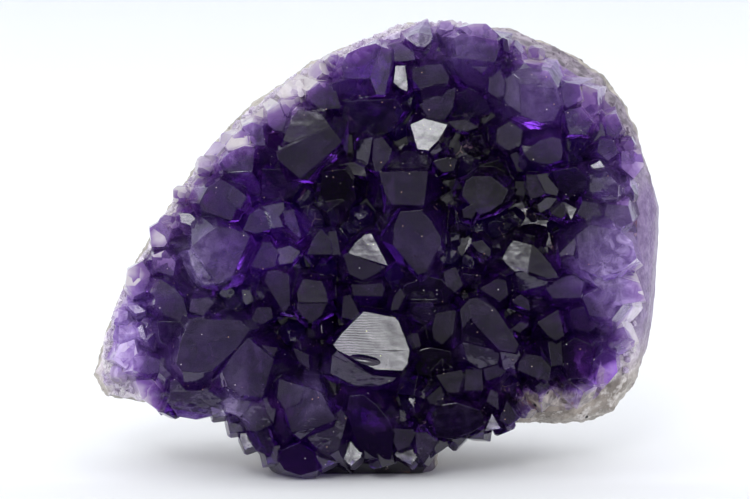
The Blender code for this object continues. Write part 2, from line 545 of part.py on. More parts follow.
def stand_end(bm, spec, draw):
    """A crystal end that shows: a block cut by its largest end face and by a steep side under each of its edges."""
    right, up, rise, *corners = spec
    outline = [Vector(((column - MIDDLE_COLUMN) * PIXEL, (FOOT_ROW - row) * PIXEL)) for column, row in corners]
    bed = bed_height(*sum(outline, Vector((0, 0))) / len(outline))
    outline = [place.lerp(Vector(VIEWPOINT), (bed + rise) / VIEW_DISTANCE) for place in outline]
    outline = [outline[i] for i in geometry.convex_hull_2d(outline)]
    centre = sum(outline, Vector((0, 0))) / len(outline)
    normal = towards(right, up)
    middle = Vector((*centre, bed + rise))
    block = bmesh.new()
    bmesh.ops.create_cube(block, size=80.0, matrix=Matrix.Translation((*centre, bed - ROOT_DEPTH + 40.0)))
    cut_flat(block, middle, normal)
    tops = []
    for place in outline:
        drop = normal.xy.dot(place - centre) / normal.z
        tops.append(Vector((*place, middle.z - drop)))
    for i, start in enumerate(tops):
        before = (start - tops[i - 1]).normalized()
        along = (tops[(i + 1) % len(tops)] - start).normalized()
        outwards = Vector((along.y, -along.x, 0.0)).normalized()
        if outwards.xy.dot(start.xy - centre) < 0:
            outwards.negate()
        room = max(LEAST_ROOM, room_left((start.xy + tops[(i + 1) % len(tops)].xy) / 2))
        slope = max(math.radians(draw.uniform(*SIDE_SLOPES)), math.atan2(rise, room))
        steep_cut(block, start, along, outwards, slope)
        if before.dot(along) < math.cos(math.radians(180 - SHARP_CORNER)):
            across = (before + along).normalized()
            steep_cut(block, start, across, (before - along).normalized(), math.radians(CORNER_SLOPE))
    bmesh.ops.dissolve_degenerate(block, dist=0.01, edges=block.edges)
    bmesh.ops.scale(block, vec=(MM, MM, MM), verts=block.verts)
    block.transform(Matrix.Translation(face_point(0, 0, 0)) @ face_turn())
    add_solid(bm, block)


def stand_pointing(bm, spec, draw):
    """A crystal whose long axis is turned the way given."""
    tip_u, tip_v, radius, length, right, up, roll, three = spec
    turn = Vector((0, 0, 1)).rotation_difference(towards(right, up)).to_matrix().to_4x4()
    stand_crystal(bm, tip_u, tip_v, crystal(radius, length, roll, three, draw), length, turn)


def stand_lesser(bm, spec, draw):
    """A lesser crystal, which leans outwards the nearer it stands to the rim."""
    tip_u, tip_v, radius = spec
    right = FAN_OUT * (tip_u - FACE_CENTRE[0]) / BED_HALF_WIDTH + draw.uniform(-14, 14)
    up = FAN_OUT * (tip_v - FACE_CENTRE[1]) / BED_HALF_HEIGHT + draw.uniform(-14, 14)
    length = radius * draw.uniform(1.25, 1.6) + 1.2
    more = (length, right, up, draw.uniform(0, 120), draw.uniform(0.6, 1.1))
    stand_pointing(bm, (*spec, *more), draw)


def stand_hanging(bm, spec, draw):
    """A crystal of the lower edge, which leans out from the middle of the face."""
    out = (Vector(spec[:2]) - Vector(FACE_CENTRE)).normalized() * HANG_LEAN
    more = (HANG_LENGTH, out.x, out.y, draw.uniform(0, 120), draw.uniform(0.6, 1.1))
    stand_pointing(bm, (*spec, *more), draw)


def crystal_points():
    """All the crystals as one object of overlapping solids, to be united with the quartz layer."""
    bm = bmesh.new()
    for specs, stand, seed in (
        (ENDS, stand_end, END_SEED),
        (LESSER, stand_lesser, LESSER_SEED),
        (HANGING, stand_hanging, LESSER_SEED),
    ):
        draw = random.Random(seed)
        for spec in specs:
            stand(bm, spec, draw)
    return finished("crystal_points", bm)


def painted(name, colour, roughness, transmission=0.0):
    """A Principled material of one finish."""
    material = bpy.data.materials.new(name)
    material.use_nodes = True
    surface = material.node_tree.nodes["Principled BSDF"]
    surface.inputs["Base Color"].default_value = (*colour, 1.0)
    surface.inputs["Roughness"].default_value = roughness
    surface.inputs["Metallic"].default_value = 0.0
    surface.inputs["Transmission Weight"].default_value = transmission
    surface.inputs["IOR"].default_value = 1.544
    material.diffuse_color = (*colour, 1.0)
    return material


def boolean(owner, name, operation, other, overlapping=False):
    """A live Boolean on owner, with the default exact solver."""
    modifier = owner.modifiers.new(name, "BOOLEAN")
    modifier.operation = operation
    modifier.object = other
    modifier.use_self = overlapping


def helper(obj, collection):
    """Puts a cutter or a joined shape away where neither a render nor the build shows it."""
    collection.objects.link(obj)
    obj.hide_render = True
    obj.display_type = "WIRE"


def rock_matrix():
    """The lens of rock, rough outside and cut flat at the floor."""
    rings = len(FRONT_STEPS) + len(SHOULDER_STEPS) + len(BACK_STEPS) - 1
    rock = shaped_ball("rock_matrix", rings, rock_place)
    bm = bmesh.new()
    bm.from_mesh(rock.data)
    roughen_rock(bm)
    cut_flat(bm, (0, 0, 0), (0, 0, -1))
    bm.to_mesh(rock.data)
    bm.free()
    rock.data.materials.append(painted("pale_rock", (0.46, 0.43, 0.41), 0.8))
    return rock


def rock_clearance(rock):
    """The rock grown all over by the gap that keeps the crust off it."""
    bm = bmesh.new()
    bm.from_mesh(rock.data)
    bmesh.ops.triangulate(bm, faces=bm.faces)
    bm.normal_update()
    places = [vert.co + vert.normal * CLEARANCE * MM * 1.3 for vert in bm.verts]
    for vert, place in zip(bm.verts, places):
        vert.co = place
    return finished("rock_clearance", bm)


def floor_block():
    """The space under the piece, which no crystal reaches into."""
    bm = bmesh.new()
    bmesh.ops.create_cube(bm, size=0.3, matrix=Matrix.Translation((0, 0, FLOOR_GAP * MM - 0.15)))
    return finished("floor_block", bm)


def only_body(obj):
    """Takes the shape that the modifiers give and leaves its one body. Closed pockets inside it are filled."""
    bpy.context.scene.collection.objects.link(obj)
    depsgraph = bpy.context.evaluated_depsgraph_get()
    bm = bmesh.new()
    bm.from_mesh(bpy.data.meshes.new_from_object(obj.evaluated_get(depsgraph)))
    bpy.context.scene.collection.objects.unlink(obj)
    obj.modifiers.clear()
    bmesh.ops.remove_doubles(bm, verts=bm.verts, dist=WELD * MM)
    bmesh.ops.dissolve_degenerate(bm, dist=WELD * MM, edges=bm.edges)
    unseen = set(bm.verts)
    bodies = []
    while unseen:
        body, front = set(), {unseen.pop()}
        while front:
            vert = front.pop()
            body.add(vert)
            near = {edge.other_vert(vert) for edge in vert.link_edges} & unseen
            unseen -= near
            front |= near
        bodies.append(body)
    bodies.remove(max(bodies, key=len))
    bmesh.ops.delete(bm, geom=[vert for body in bodies for vert in body], context="VERTS")
    bm.to_mesh(obj.data)
    bm.free()


def amethyst_crust(rock, helpers):
    """The quartz layer with every crystal united to it, and the rock and the floor taken away."""
    crust = shaped_ball("amethyst_crystals", 2 * len(FRONT_STEPS) - 1, quartz_place)
    points = crystal_points()
    clearance = rock_clearance(rock)
    floor = floor_block()
    for obj in (points, clearance, floor):
        helper(obj, helpers)
    boolean(crust, "grow_points", "UNION", points, overlapping=True)
    boolean(crust, "leave_rock", "DIFFERENCE", clearance)
    boolean(crust, "leave_floor", "DIFFERENCE", floor)
    only_body(crust)
    crust.data.materials.append(painted("amethyst", (0.16, 0.05, 0.36), 0.08, 0.6))
    return crust


def main():
    for obj in list(bpy.data.objects):
        bpy.data.objects.remove(obj)
    scene = bpy.context.scene.collection
    parts = bpy.data.collections.new("amethyst_cluster")
    helpers = bpy.data.collections.new("cutters")
    scene.children.link(parts)
    scene.children.link(helpers)
    rock = rock_matrix()
    parts.objects.link(rock)
    parts.objects.link(amethyst_crust(rock, helpers))


main()
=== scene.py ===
"""Amethyst cluster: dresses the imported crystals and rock, and sets them on a white studio floor."""

import math
import random

import bmesh
import bpy
from bpy.props import FloatProperty, FloatVectorProperty, IntProperty, PointerProperty
from mathutils import Matrix, Vector, noise
from mathutils.bvhtree import BVHTree


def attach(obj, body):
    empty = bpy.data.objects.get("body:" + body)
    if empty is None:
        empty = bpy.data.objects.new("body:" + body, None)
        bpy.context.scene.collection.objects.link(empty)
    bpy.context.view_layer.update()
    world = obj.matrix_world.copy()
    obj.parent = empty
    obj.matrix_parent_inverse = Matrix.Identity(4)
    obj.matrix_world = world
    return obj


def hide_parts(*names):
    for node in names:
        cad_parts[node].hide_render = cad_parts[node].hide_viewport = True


bl_info = {
    "name": "Amethyst Cluster",
    "version": (1, 0, 0),
    "blender": (4, 5, 0),
    "location": "3D View > Sidebar > Amethyst",
    "description": "Grows the finished rock, crystals and fine crystal crust of an amethyst cluster",
    "category": "Add Mesh",
}

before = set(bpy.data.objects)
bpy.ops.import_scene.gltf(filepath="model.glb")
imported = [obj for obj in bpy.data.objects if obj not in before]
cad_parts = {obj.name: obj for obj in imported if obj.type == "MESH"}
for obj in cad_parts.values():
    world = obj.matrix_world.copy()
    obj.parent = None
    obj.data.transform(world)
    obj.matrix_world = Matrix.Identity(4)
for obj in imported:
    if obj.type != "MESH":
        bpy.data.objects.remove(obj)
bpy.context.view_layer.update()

MM = 0.001

# The leaning crystal face, as the part's source has it: millimetres and degrees
FACE_LEAN = 10.0
FACE_FOOT = (-0.1, -11.4, -0.8)
FACE_CENTRE = (3.0, 48.0)
BED_DOME = 5.0
BED_HALF_WIDTH = 64.0
BED_HALF_HEIGHT = 50.0
# Swells and hollows of the bed: u, v, radius and rise
BED_FORMS = (
    (26.0, 62.0, 13.0, -4.0),
    (-20.0, 11.0, 15.0, 3.5),
    (4.0, 10.0, 15.0, 2.0),
    (48.0, 41.0, 11.0, 2.5),
    (-34.0, 30.0, 12.0, 1.5),
)
# The small crystals that the scene adds stand on the surface that a ray down from this height over the face
# finds, and none of them stands lower than this over the floor, in millimetres
RAY_HEIGHT = 60.0
LOWEST_GROWTH = 3.0
# The bed counts as bare where nothing rises higher over it than this
BARE_BED = 3.2
# How far inside the rim the violet is full
FULL_VIOLET = 13.0
# The height over the bed below which painted shade gathers between the crystals, and over how much it deepens
SHADE_TOP = 6.5
SHADE_FADE = 4.0
# A quartz end face stands at this angle to the plane across the crystal's long axis, and every other one lies
# farther out by this share of the radius, which makes it smaller
FACE_SLOPE = 51.8
SMALL_FACE_SETBACK = 0.14
# How strongly quartz bends light
QUARTZ_IOR = 1.544

# Outline of the piece on the face, anticlockwise from the right, and the width of bare rim inside it
OUTLINE = (
    (60.1, 57.0, 5.0),
    (57.8, 66.6, 4.0),
    (55.0, 73.7, 3.0),
    (52.1, 79.4, 3.0),
    (47.4, 84.9, 3.4),
    (41.0, 89.2, 3.6),
    (32.6, 93.0, 3.0),
    (24.2, 95.4, 1.8),
    (14.0, 96.1, 1.6),
    (5.0, 95.4, 1.8),
    (-3.7, 91.9, 2.0),
    (-12.5, 87.9, 2.2),
    (-19.5, 83.7, 2.6),
    (-28.7, 76.4, 2.6),
    (-36.4, 68.0, 2.6),
    (-42.8, 59.3, 2.6),
    (-48.5, 49.0, 2.4),
    (-54.2, 38.4, 2.4),
    (-57.7, 29.6, 2.6),
    (-60.5, 18.6, 7.0),
    (-57.5, 15.8, 7.0),
    (-46.5, 14.4, 2.4),
    (-33.5, 12.6, 2.0),
    (-26.0, 9.0, 2.2),
    (-19.5, -3.5, 3.0),
    (-4.0, -8.0, 4.0),
    (10.0, -5.0, 3.6),
    (14.5, 6.5, 2.4),
    (24.0, 9.6, 2.0),
    (35.0, 10.4, 3.2),
    (47.4, 11.0, 5.0),
    (54.4, 17.0, 5.6),
    (57.6, 27.6, 5.2),
    (58.8, 38.0, 4.6),
    (59.8, 48.0, 4.8),
)

# Soft round zones of the crystals, each with its u, v, radius and strength
# Where light comes through them in bright violet
GLOW_ZONES = (
    (-3.0, 78.0, 6.0, 0.4),
    (38.0, 70.0, 7.0, 0.5),
    (-47.0, 37.0, 5.0, 0.6),
    (-23.7, 56.7, 6.5, 0.9),
    (-29.4, 47.3, 6.0, 0.8),
    (-22.0, 45.0, 7.0, 0.7),
    (-15.8, 50.4, 3.5, 1.0),
    (-2.6, 14.5, 4.5, 0.5),
    (-15.8, 2.1, 6.0, 0.8),
    (48.3, 22.7, 5.0, 0.9),
    (47.3, 46.2, 9.0, 0.7),
    (42.0, 36.8, 6.0, 0.5),
    (4.2, 42.6, 2.5, 0.8),
    (-1.5, 86.0, 6.0, 0.7),
    (33.6, 78.7, 9.0, 0.5),
    (20.0, 85.0, 8.0, 0.5),
    (-47.0, 22.0, 8.0, 0.5),
    (-51.0, 30.0, 6.0, 0.5),
    (25.0, 26.0, 6.0, 0.4),
    (-33.0, 68.0, 6.0, 0.4),
)
# Where fine veils inside make them milky
HAZE_ZONES = (
    (-34.0, 28.5, 7.0, 0.4),
    (-35.5, 45.0, 6.0, 0.9),
    (47.5, 45.0, 6.0, 1.0),
    (52.0, 49.0, 4.0, 0.8),
    (15.8, 91.0, 6.0, 0.5),
    (-53.5, 26.3, 7.0, 0.7),
    (33.6, 79.8, 8.0, 0.4),
    (8.4, 49.4, 5.0, 0.2),
    (-29.0, 14.7, 3.0, 0.9),
    (-11.5, 18.9, 4.0, 0.5),
    (53.0, 34.0, 6.0, 0.6),
    (52.0, 62.0, 8.0, 0.4),
    (-50.5, 35.0, 4.5, 0.5),
)
# Where they are whitish to lilac
PALE_ZONES = (
    (-13.0, 86.5, 5.5, 1.0),
    (-18.0, 82.0, 5.5, 1.0),
    (-24.0, 77.5, 5.0, 1.0),
    (-30.0, 72.0, 4.5, 0.9),
    (-36.5, 65.5, 4.0, 0.7),
    (-43.0, 59.0, 3.0, 0.4),
    (-56.0, 22.0, 7.0, 0.9),
    (-55.0, 16.5, 6.0, 0.9),
    (44.0, 84.0, 6.0, 0.6),
    (36.0, 88.5, 5.0, 0.6),
    (50.0, 77.0, 5.0, 0.5),
    (53.5, 32.0, 5.5, 0.6),
    (56.0, 40.0, 5.0, 0.3),
    (22.0, 92.5, 4.0, 0.6),
)
# Where their faces have fine growth lines
STRIATED = (
    (-5.5, 31.0, 6.0, 1.2),
    (1.5, 27.5, 8.0, 0.5),
    (48.5, 48.0, 4.5, 1.2),
    (-39.5, 53.8, 2.5, 1.0),
    (-15.0, 69.0, 4.0, 0.4),
)
# Where they are dark right out to the edge
DARK_EDGE = (
    (56.0, 58.0, 8.0, 0.35),
    (54.0, 72.0, 7.0, 0.35),
    (57.0, 46.0, 8.0, 0.3),
    (-46.0, 50.0, 7.0, 0.3),
    (-42.0, 16.0, 5.0, 0.5),
    (-34.0, 13.0, 8.0, 0.9),
    (-24.0, 4.0, 12.0, 1.0),
    (-8.0, -2.0, 14.0, 1.0),
    (8.0, 0.0, 14.0, 1.0),
    (20.0, 8.0, 10.0, 1.0),
    (30.0, 12.0, 7.0, 0.6),
    (28.0, 92.0, 5.0, 0.5),
)
# Where they are darkest of all: painted near-black shade
DARK_ZONES = (
    (-2.0, 9.0, 4.0, 0.8),
    (42.0, 24.0, 5.0, 0.8),
    (11.5, 24.0, 5.0, 0.9),
    (-6.3, 61.0, 5.0, 0.9),
    (37.0, 51.0, 6.0, 0.9),
    (22.0, 68.0, 14.0, 0.9),
    (33.0, 52.0, 11.0, 0.8),
    (-12.0, 59.0, 8.0, 0.6),
    (14.0, 34.0, 12.0, 0.6),
    (34.0, 26.0, 9.0, 0.6),
    (-40.0, 30.0, 5.0, 0.5),
    (-12.0, 36.0, 8.0, 0.5),
    (17.0, 12.0, 10.0, 0.8),
    (-8.0, 76.0, 6.0, 0.7),
)

# Soft round zones of the rim. Where it is grey and granular
GREY_RIM = (
    (24.0, 94.0, 6.0, 0.7),
    (36.0, 89.0, 9.0, 1.0),
    (45.0, 84.5, 8.0, 1.0),
    (51.0, 77.0, 8.0, 1.0),
    (55.0, 69.0, 7.0, 0.8),
)
# Where it is ground smooth, and lilac
POLISHED_RIM = (
    (60.0, 58.0, 9.0, 1.0),
    (59.5, 47.0, 9.0, 1.0),
    (58.5, 37.0, 8.0, 0.9),
    (57.5, 28.0, 6.0, 0.5),
)
# Where it is bare beige rock
BEIGE_RIM = (
    (54.0, 17.0, 7.0, 0.8),
    (47.0, 13.0, 8.0, 1.0),
    (37.0, 12.0, 7.0, 1.0),
    (30.0, 10.0, 6.0, 0.9),
    (-60.0, 18.0, 6.0, 0.7),
)
# Where the rock round the foot is painted dark as shade
DARK_FOOT = (
    (12.0, -4.0, 13.0, 1.0),
    (-8.0, -7.0, 12.0, 1.0),
    (-22.0, -2.0, 9.0, 0.9),
)

RIM_KINDS = (GREY_RIM, POLISHED_RIM, BEIGE_RIM, DARK_FOOT)
NO_DRUSE = (GREY_RIM, POLISHED_RIM, BEIGE_RIM, DARK_EDGE)

# The chip in the brightest face: u, v, half length, half width and depth in millimetres, and turn in degrees
CHIP = (-2.2, 24.6, 3.6, 1.1, 0.5, -8.0)

# Camera: straight at the face, at this height on it, from this far
VIEW_HEIGHT = 47.36
VIEW_DISTANCE = 875.0
VIEW_LENS = 200.0

# Parts of the room: the side each is on, to the right of straight ahead and above level, and its width, in
# degrees. The bright ceiling, the dim side behind the camera, the dark part of the ceiling, the less bright
# back, and the soft window that the brightest faces mirror
TOP_SIDE = (0.0, 90.0)
TOP_WIDTH = 75.0
DIM_SIDE = (0.0, FACE_LEAN)
DIM_WIDTH = 24.0
DARK_CEILING_SIDE = (8.0, 72.0)
DARK_CEILING_WIDTH = 13.0
DARK_CEILING_STRENGTH = -1.4
BACK_SIDE = (180.0, 20.0)
BACK_WIDTH = 60.0
BACK_STRENGTH = -0.4
WINDOW_SIDE = (-10.0, 40.0)
WINDOW_WIDTH = 8.0

# Floor, in metres: its size, the height and rounding of its curved back, and where the far part's painted
# shade begins
FLOOR_SIZE = (8.0, 6.0, 1.0)
WALL_HEIGHT = 4.0
WALL_BEND = 1.6
FAR_SHADE_TINT = (0.80, 0.82, 0.85)
FAR_FROM, FAR_TO = 0.35, 0.95
# The dark card on the floor before the piece, in metres
CARD_PLACE = (0.0, -0.142, 0.001)
CARD_SIZE = (0.5, 0.24, 1.0)

# Colours that stay as they are: of the rock and its rim
SKIN_PITS = (0.12, 0.10, 0.10)
RIM_LILAC = (0.60, 0.50, 0.70)
RIM_SUGAR = (0.90, 0.87, 0.92)
GREY_PITS = (0.10, 0.07, 0.11)
BEIGE_PATCHES = (0.66, 0.62, 0.60)
BLACK_SPECKS = (0.02, 0.02, 0.02)
POLISHED_PATCHES = (0.29, 0.21, 0.39)
RIM_INNER_EDGE = (0.10, 0.03, 0.28)
FOOT_SHADE = (0.05, 0.03, 0.08)
# Of the druse and the crystals
DRUSE_LILAC = (0.64, 0.52, 0.76)
GREY_FROST = (0.44, 0.37, 0.45)
STONE_DARK = (0.13, 0.10, 0.11)
STONE_LIGHT = (0.40, 0.35, 0.31)
# Painted shade: near black, between the crystals and in their darkest zones
CREVICE_SHADE = (0.012, 0.003, 0.025)
STAIN = (0.20, 0.07, 0.04)
SEAM = (0.42, 0.26, 0.26)
DUST_BROWN = (0.42, 0.24, 0.16)
DUST_WHITE = (0.66, 0.60, 0.60)
ABSORPTION = (0.50, 0.08, 0.74)
ABSORPTION_DENSITY = 90.0


def face_axes():
    """The face's directions to the right, up along it, and out of it, in the row frame."""
    lean = math.radians(FACE_LEAN)
    right = Vector((1.0, 0.0, 0.0))
    up = Vector((0.0, math.sin(lean), math.cos(lean)))
    return right, up, right.cross(up)


def face_point(u, v, h):
    """A place on the leaning face, in millimetres, as a point of the row frame in metres."""
    right, up, out = face_axes()
    return (Vector(FACE_FOOT) + right * u + up * v + out * h) * MM


def on_face(point):
    """The place on the face, in millimetres, of a point of the row frame in metres."""
    offset = Vector(point) / MM - Vector(FACE_FOOT)
    return Vector([offset.dot(axis) for axis in face_axes()])


def face_turn():
    """The rotation that takes the face's directions to the row frame's."""
    return Matrix.Rotation(math.radians(90.0 - FACE_LEAN), 4, "X")


def bed_height(u, v):
    """Height of the bed that the crystals grow on, over the face's plane."""
    across = (u - FACE_CENTRE[0]) / BED_HALF_WIDTH
    along = (v - FACE_CENTRE[1]) / BED_HALF_HEIGHT
    height = BED_DOME * (1 - across**2 - along**2)
    for form_u, form_v, radius, rise in BED_FORMS:
        reach = ((u - form_u) ** 2 + (v - form_v) ** 2) / radius**2
        height += rise * math.exp(-reach)
    return height


def rim_depth(u, v):
    """How far a place lies inside the outline, and how wide the bare rim is beside it."""
    place = Vector((u, v))
    nearest, width = 1e9, 0.0
    inside = False
    for i, (bu, bv, bw) in enumerate(OUTLINE):
        au, av, aw = OUTLINE[i - 1]
        a, b = Vector((au, av)), Vector((bu, bv))
        along = clamped((place - a).dot(b - a) / (b - a).length_squared)
        distance = (place - a.lerp(b, along)).length
        if distance < nearest:
            nearest, width = distance, aw + (bw - aw) * along
        if (av > v) != (bv > v) and u < au + (v - av) / (bv - av) * (bu - au):
            inside = not inside
    return (nearest if inside else -nearest), width


def clamped(value):
    """The value, held between 0 and 1."""
    return max(0.0, min(1.0, value))


def towards_side(azimuth, elevation):
    """The direction towards a side of the room: degrees to the right of straight ahead, and above level."""
    around, rise = math.radians(azimuth), math.radians(elevation)
    return Vector((math.sin(around) * math.cos(rise), -math.cos(around) * math.cos(rise), math.sin(rise)))


def spread(place, zones):
    """The strength from 0 to 1 that soft round zones (u, v, radius, strength) give a place on the face."""
    strength = 0.0
    for zone_u, zone_v, radius, amount in zones:
        reach = ((place.x - zone_u) ** 2 + (place.y - zone_v) ** 2) / radius**2
        if reach < 9.0:
            strength += amount * math.exp(-reach)
    return clamped(strength)


def stored(mesh, **kinds):
    """New attributes of the mesh's points, by name and kind, as their values."""
    for name, kind in kinds.items():
        mesh.attributes.new(name, kind, "POINT")
    return [mesh.attributes[name].data for name in kinds]


def surface_of(mesh):
    """The mesh's surface, for rays to hit."""
    points = [vert.co for vert in mesh.vertices]
    return BVHTree.FromPolygons(points, [face.vertices for face in mesh.polygons])


def alone(obj):
    """Deselects everything else and makes obj the active, selected object."""
    if bpy.context.mode != "OBJECT":
        bpy.ops.object.mode_set(mode="OBJECT")
    bpy.ops.object.select_all(action="DESELECT")
    obj.select_set(True)
    bpy.context.view_layer.objects.active = obj


def cad_copy(node, name):
    """A copy of a CAD node's mesh as a new object, its loose triangles merged into plain facets."""
    obj = bpy.data.objects.new(name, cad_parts[node].data.copy())
    bpy.context.scene.collection.objects.link(obj)
    obj.data.materials.clear()
    alone(obj)
    bpy.ops.object.mode_set(mode="EDIT")
    bpy.ops.mesh.select_all(action="SELECT")
    bpy.ops.mesh.customdata_custom_splitnormals_clear()
    bpy.ops.mesh.remove_doubles(threshold=2e-6)
    bpy.ops.object.mode_set(mode="OBJECT")
    return obj


def quartz_point(name):
    """A model crystal of radius 1 with its tip at height 1: a six-sided prism cut by its six end faces.

    Every other end face is cut less deep, so the crystal has three large end faces and three small ones.
    """
    bpy.ops.object.select_all(action="DESELECT")
    bpy.ops.mesh.primitive_cylinder_add(vertices=6, radius=1.0, depth=3.0, location=(0, 0, -0.5))
    point = bpy.context.object
    point.name = name
    bpy.ops.object.transform_apply(location=True)
    slope = math.radians(FACE_SLOPE)
    bpy.ops.object.mode_set(mode="EDIT")
    for number in range(6):
        around = math.radians(90 + 60 * number)
        tilt = math.sin(slope)
        normal = Vector((tilt * math.cos(around), tilt * math.sin(around), math.cos(slope)))
        reach = Vector((0, 0, 1.0)) + normal * (SMALL_FACE_SETBACK if number % 2 else 0.0)
        bpy.ops.mesh.select_all(action="SELECT")
        bpy.ops.mesh.bisect(plane_co=reach, plane_no=normal, use_fill=True, clear_outer=True)
    bpy.ops.object.mode_set(mode="OBJECT")
    return point


def stood(model, place, radius, length, right, up, roll):
    """A copy of a model crystal, its foot at a place on the face and its axis turned right and upwards."""
    copy = bpy.data.objects.new(model.name, model.data.copy())
    aim = Vector((math.tan(math.radians(right)), math.tan(math.radians(up)), 1.0)).normalized()
    turn = Vector((0, 0, 1)).rotation_difference(aim).to_matrix().to_4x4()
    size = Matrix.Diagonal((radius * MM, radius * MM, radius * MM, 1.0))
    lift = Matrix.Translation((0, 0, (length - radius) * MM))
    roll_turn = Matrix.Rotation(math.radians(roll), 4, "Z")
    stand = Matrix.Translation(face_point(*place)) @ face_turn() @ turn
    copy.data.transform(stand @ lift @ roll_turn @ size)
    bpy.context.scene.collection.objects.link(copy)
    return copy


def gathered(name, model, copies):
    """The copies of a model crystal joined as one object, and the model taken away."""
    bpy.data.objects.remove(model)
    bpy.ops.object.select_all(action="DESELECT")
    for copy in copies:
        copy.select_set(True)
    bpy.context.view_layer.objects.active = copies[0]
    bpy.ops.object.join()
    copies[0].name = name
    return copies[0]


def set_values(node, **values):
    """Sets named inputs of a node."""
    for name, value in values.items():
        node.inputs[name.replace("_", " ")].default_value = value


class Finish:
    """A material under construction, with short ways to add and join its nodes."""

    def __init__(self, name):
        self.material = bpy.data.materials.new(name)
        self.material.use_nodes = True
        self.tree = self.material.node_tree
        self.surface = self.tree.nodes["Principled BSDF"]
        self.output = self.tree.nodes["Material Output"]
        self.place = self.add("ShaderNodeTexCoord").outputs["Object"]

    def add(self, kind, links=None, **settings):
        node = self.tree.nodes.new(kind)
        for name, value in settings.items():
            setattr(node, name, value)
        for name, value in (links or {}).items():
            socket = node.inputs[name]
            if isinstance(value, bpy.types.NodeSocket):
                self.tree.links.new(value, socket)
            else:
                socket.default_value = value
        return node

    def join(self, output, name):
        self.tree.links.new(output, self.surface.inputs[name])

    def attribute(self, name):
        return self.add("ShaderNodeAttribute", attribute_name=name)

    def parts(self, colour):
        """The red, green and blue of a colour."""
        return self.add("ShaderNodeSeparateColor", {"Color": colour}).outputs

    def noise(self, scale, detail=4.0, roughness=0.55, distortion=0.0):
        links = {"Vector": self.place, "Scale": scale, "Detail": detail, "Roughness": roughness}
        links["Distortion"] = distortion
        return self.add("ShaderNodeTexNoise", links).outputs["Fac"]

    def cells(self, scale, feature="F1", metric="EUCLIDEAN"):
        links = {"Vector": self.place, "Scale": scale}
        return self.add("ShaderNodeTexVoronoi", links, feature=feature, distance=metric)

    def ramp(self, fac, low, high, start=0.0, end=1.0):
        links = {"Value": fac, "From Min": low, "From Max": high, "To Min": start, "To Max": end}
        return self.add("ShaderNodeMapRange", links, clamp=True).outputs["Result"]

    def math(self, operation, a, b, clamp=False):
        node = self.add("ShaderNodeMath", {0: a, 1: b}, operation=operation)
        node.use_clamp = clamp
        return node.outputs["Value"]

    def mix(self, fac, a, b, blend="MIX"):
        node = self.add("ShaderNodeMix", data_type="RGBA", blend_type=blend)
        for socket, value in ((node.inputs[0], fac), (node.inputs[6], a), (node.inputs[7], b)):
            if isinstance(value, bpy.types.NodeSocket):
                self.tree.links.new(value, socket)
            elif isinstance(value, (tuple, list)) and len(value) == 3:
                socket.default_value = (*value, 1.0)
            else:
                socket.default_value = value
        return node.outputs[2]

    def blotches(self, fac, colour, dark, light):
        """A colour that varies between a darker and a lighter tone of itself."""
        return self.mix(fac, [part * dark for part in colour], [part * light for part in colour])

    def specked(self, colour):
        """A colour with small black specks."""
        specks = self.cells(330.0).outputs["Distance"]
        return self.mix(self.ramp(specks, 0.10, 0.18, 1.0, 0.0), colour, BLACK_SPECKS)

    def bump(self, height, strength, distance, normal=None):
        links = {"Height": height, "Strength": strength, "Distance": distance}
        if normal is not None:
            links["Normal"] = normal
        return self.add("ShaderNodeBump", links).outputs["Normal"]


class StageSettings(bpy.types.PropertyGroup):
    """Floor, light and camera."""

    floor_colour: FloatVectorProperty(
        name="Floor colour", description="Colour of the floor and of its curved back",
        subtype="COLOR", size=3, min=0.0, max=1.0, default=(0.93, 0.94, 0.96),
    )
    sky_strength: FloatProperty(
        name="Room light", description="Even light from all around", default=0.72, min=0.0,
    )
    top_strength: FloatProperty(
        name="Top light", description="How much brighter the ceiling is", default=0.92, min=0.0,
    )
    dim_strength: FloatProperty(
        name="Dim side", description="How much light the room lacks behind the camera",
        default=0.68, min=0.0,
    )
    window_strength: FloatProperty(
        name="Window", description="Brightness of the soft window that the brightest end faces mirror",
        default=11.0, min=0.0,
    )


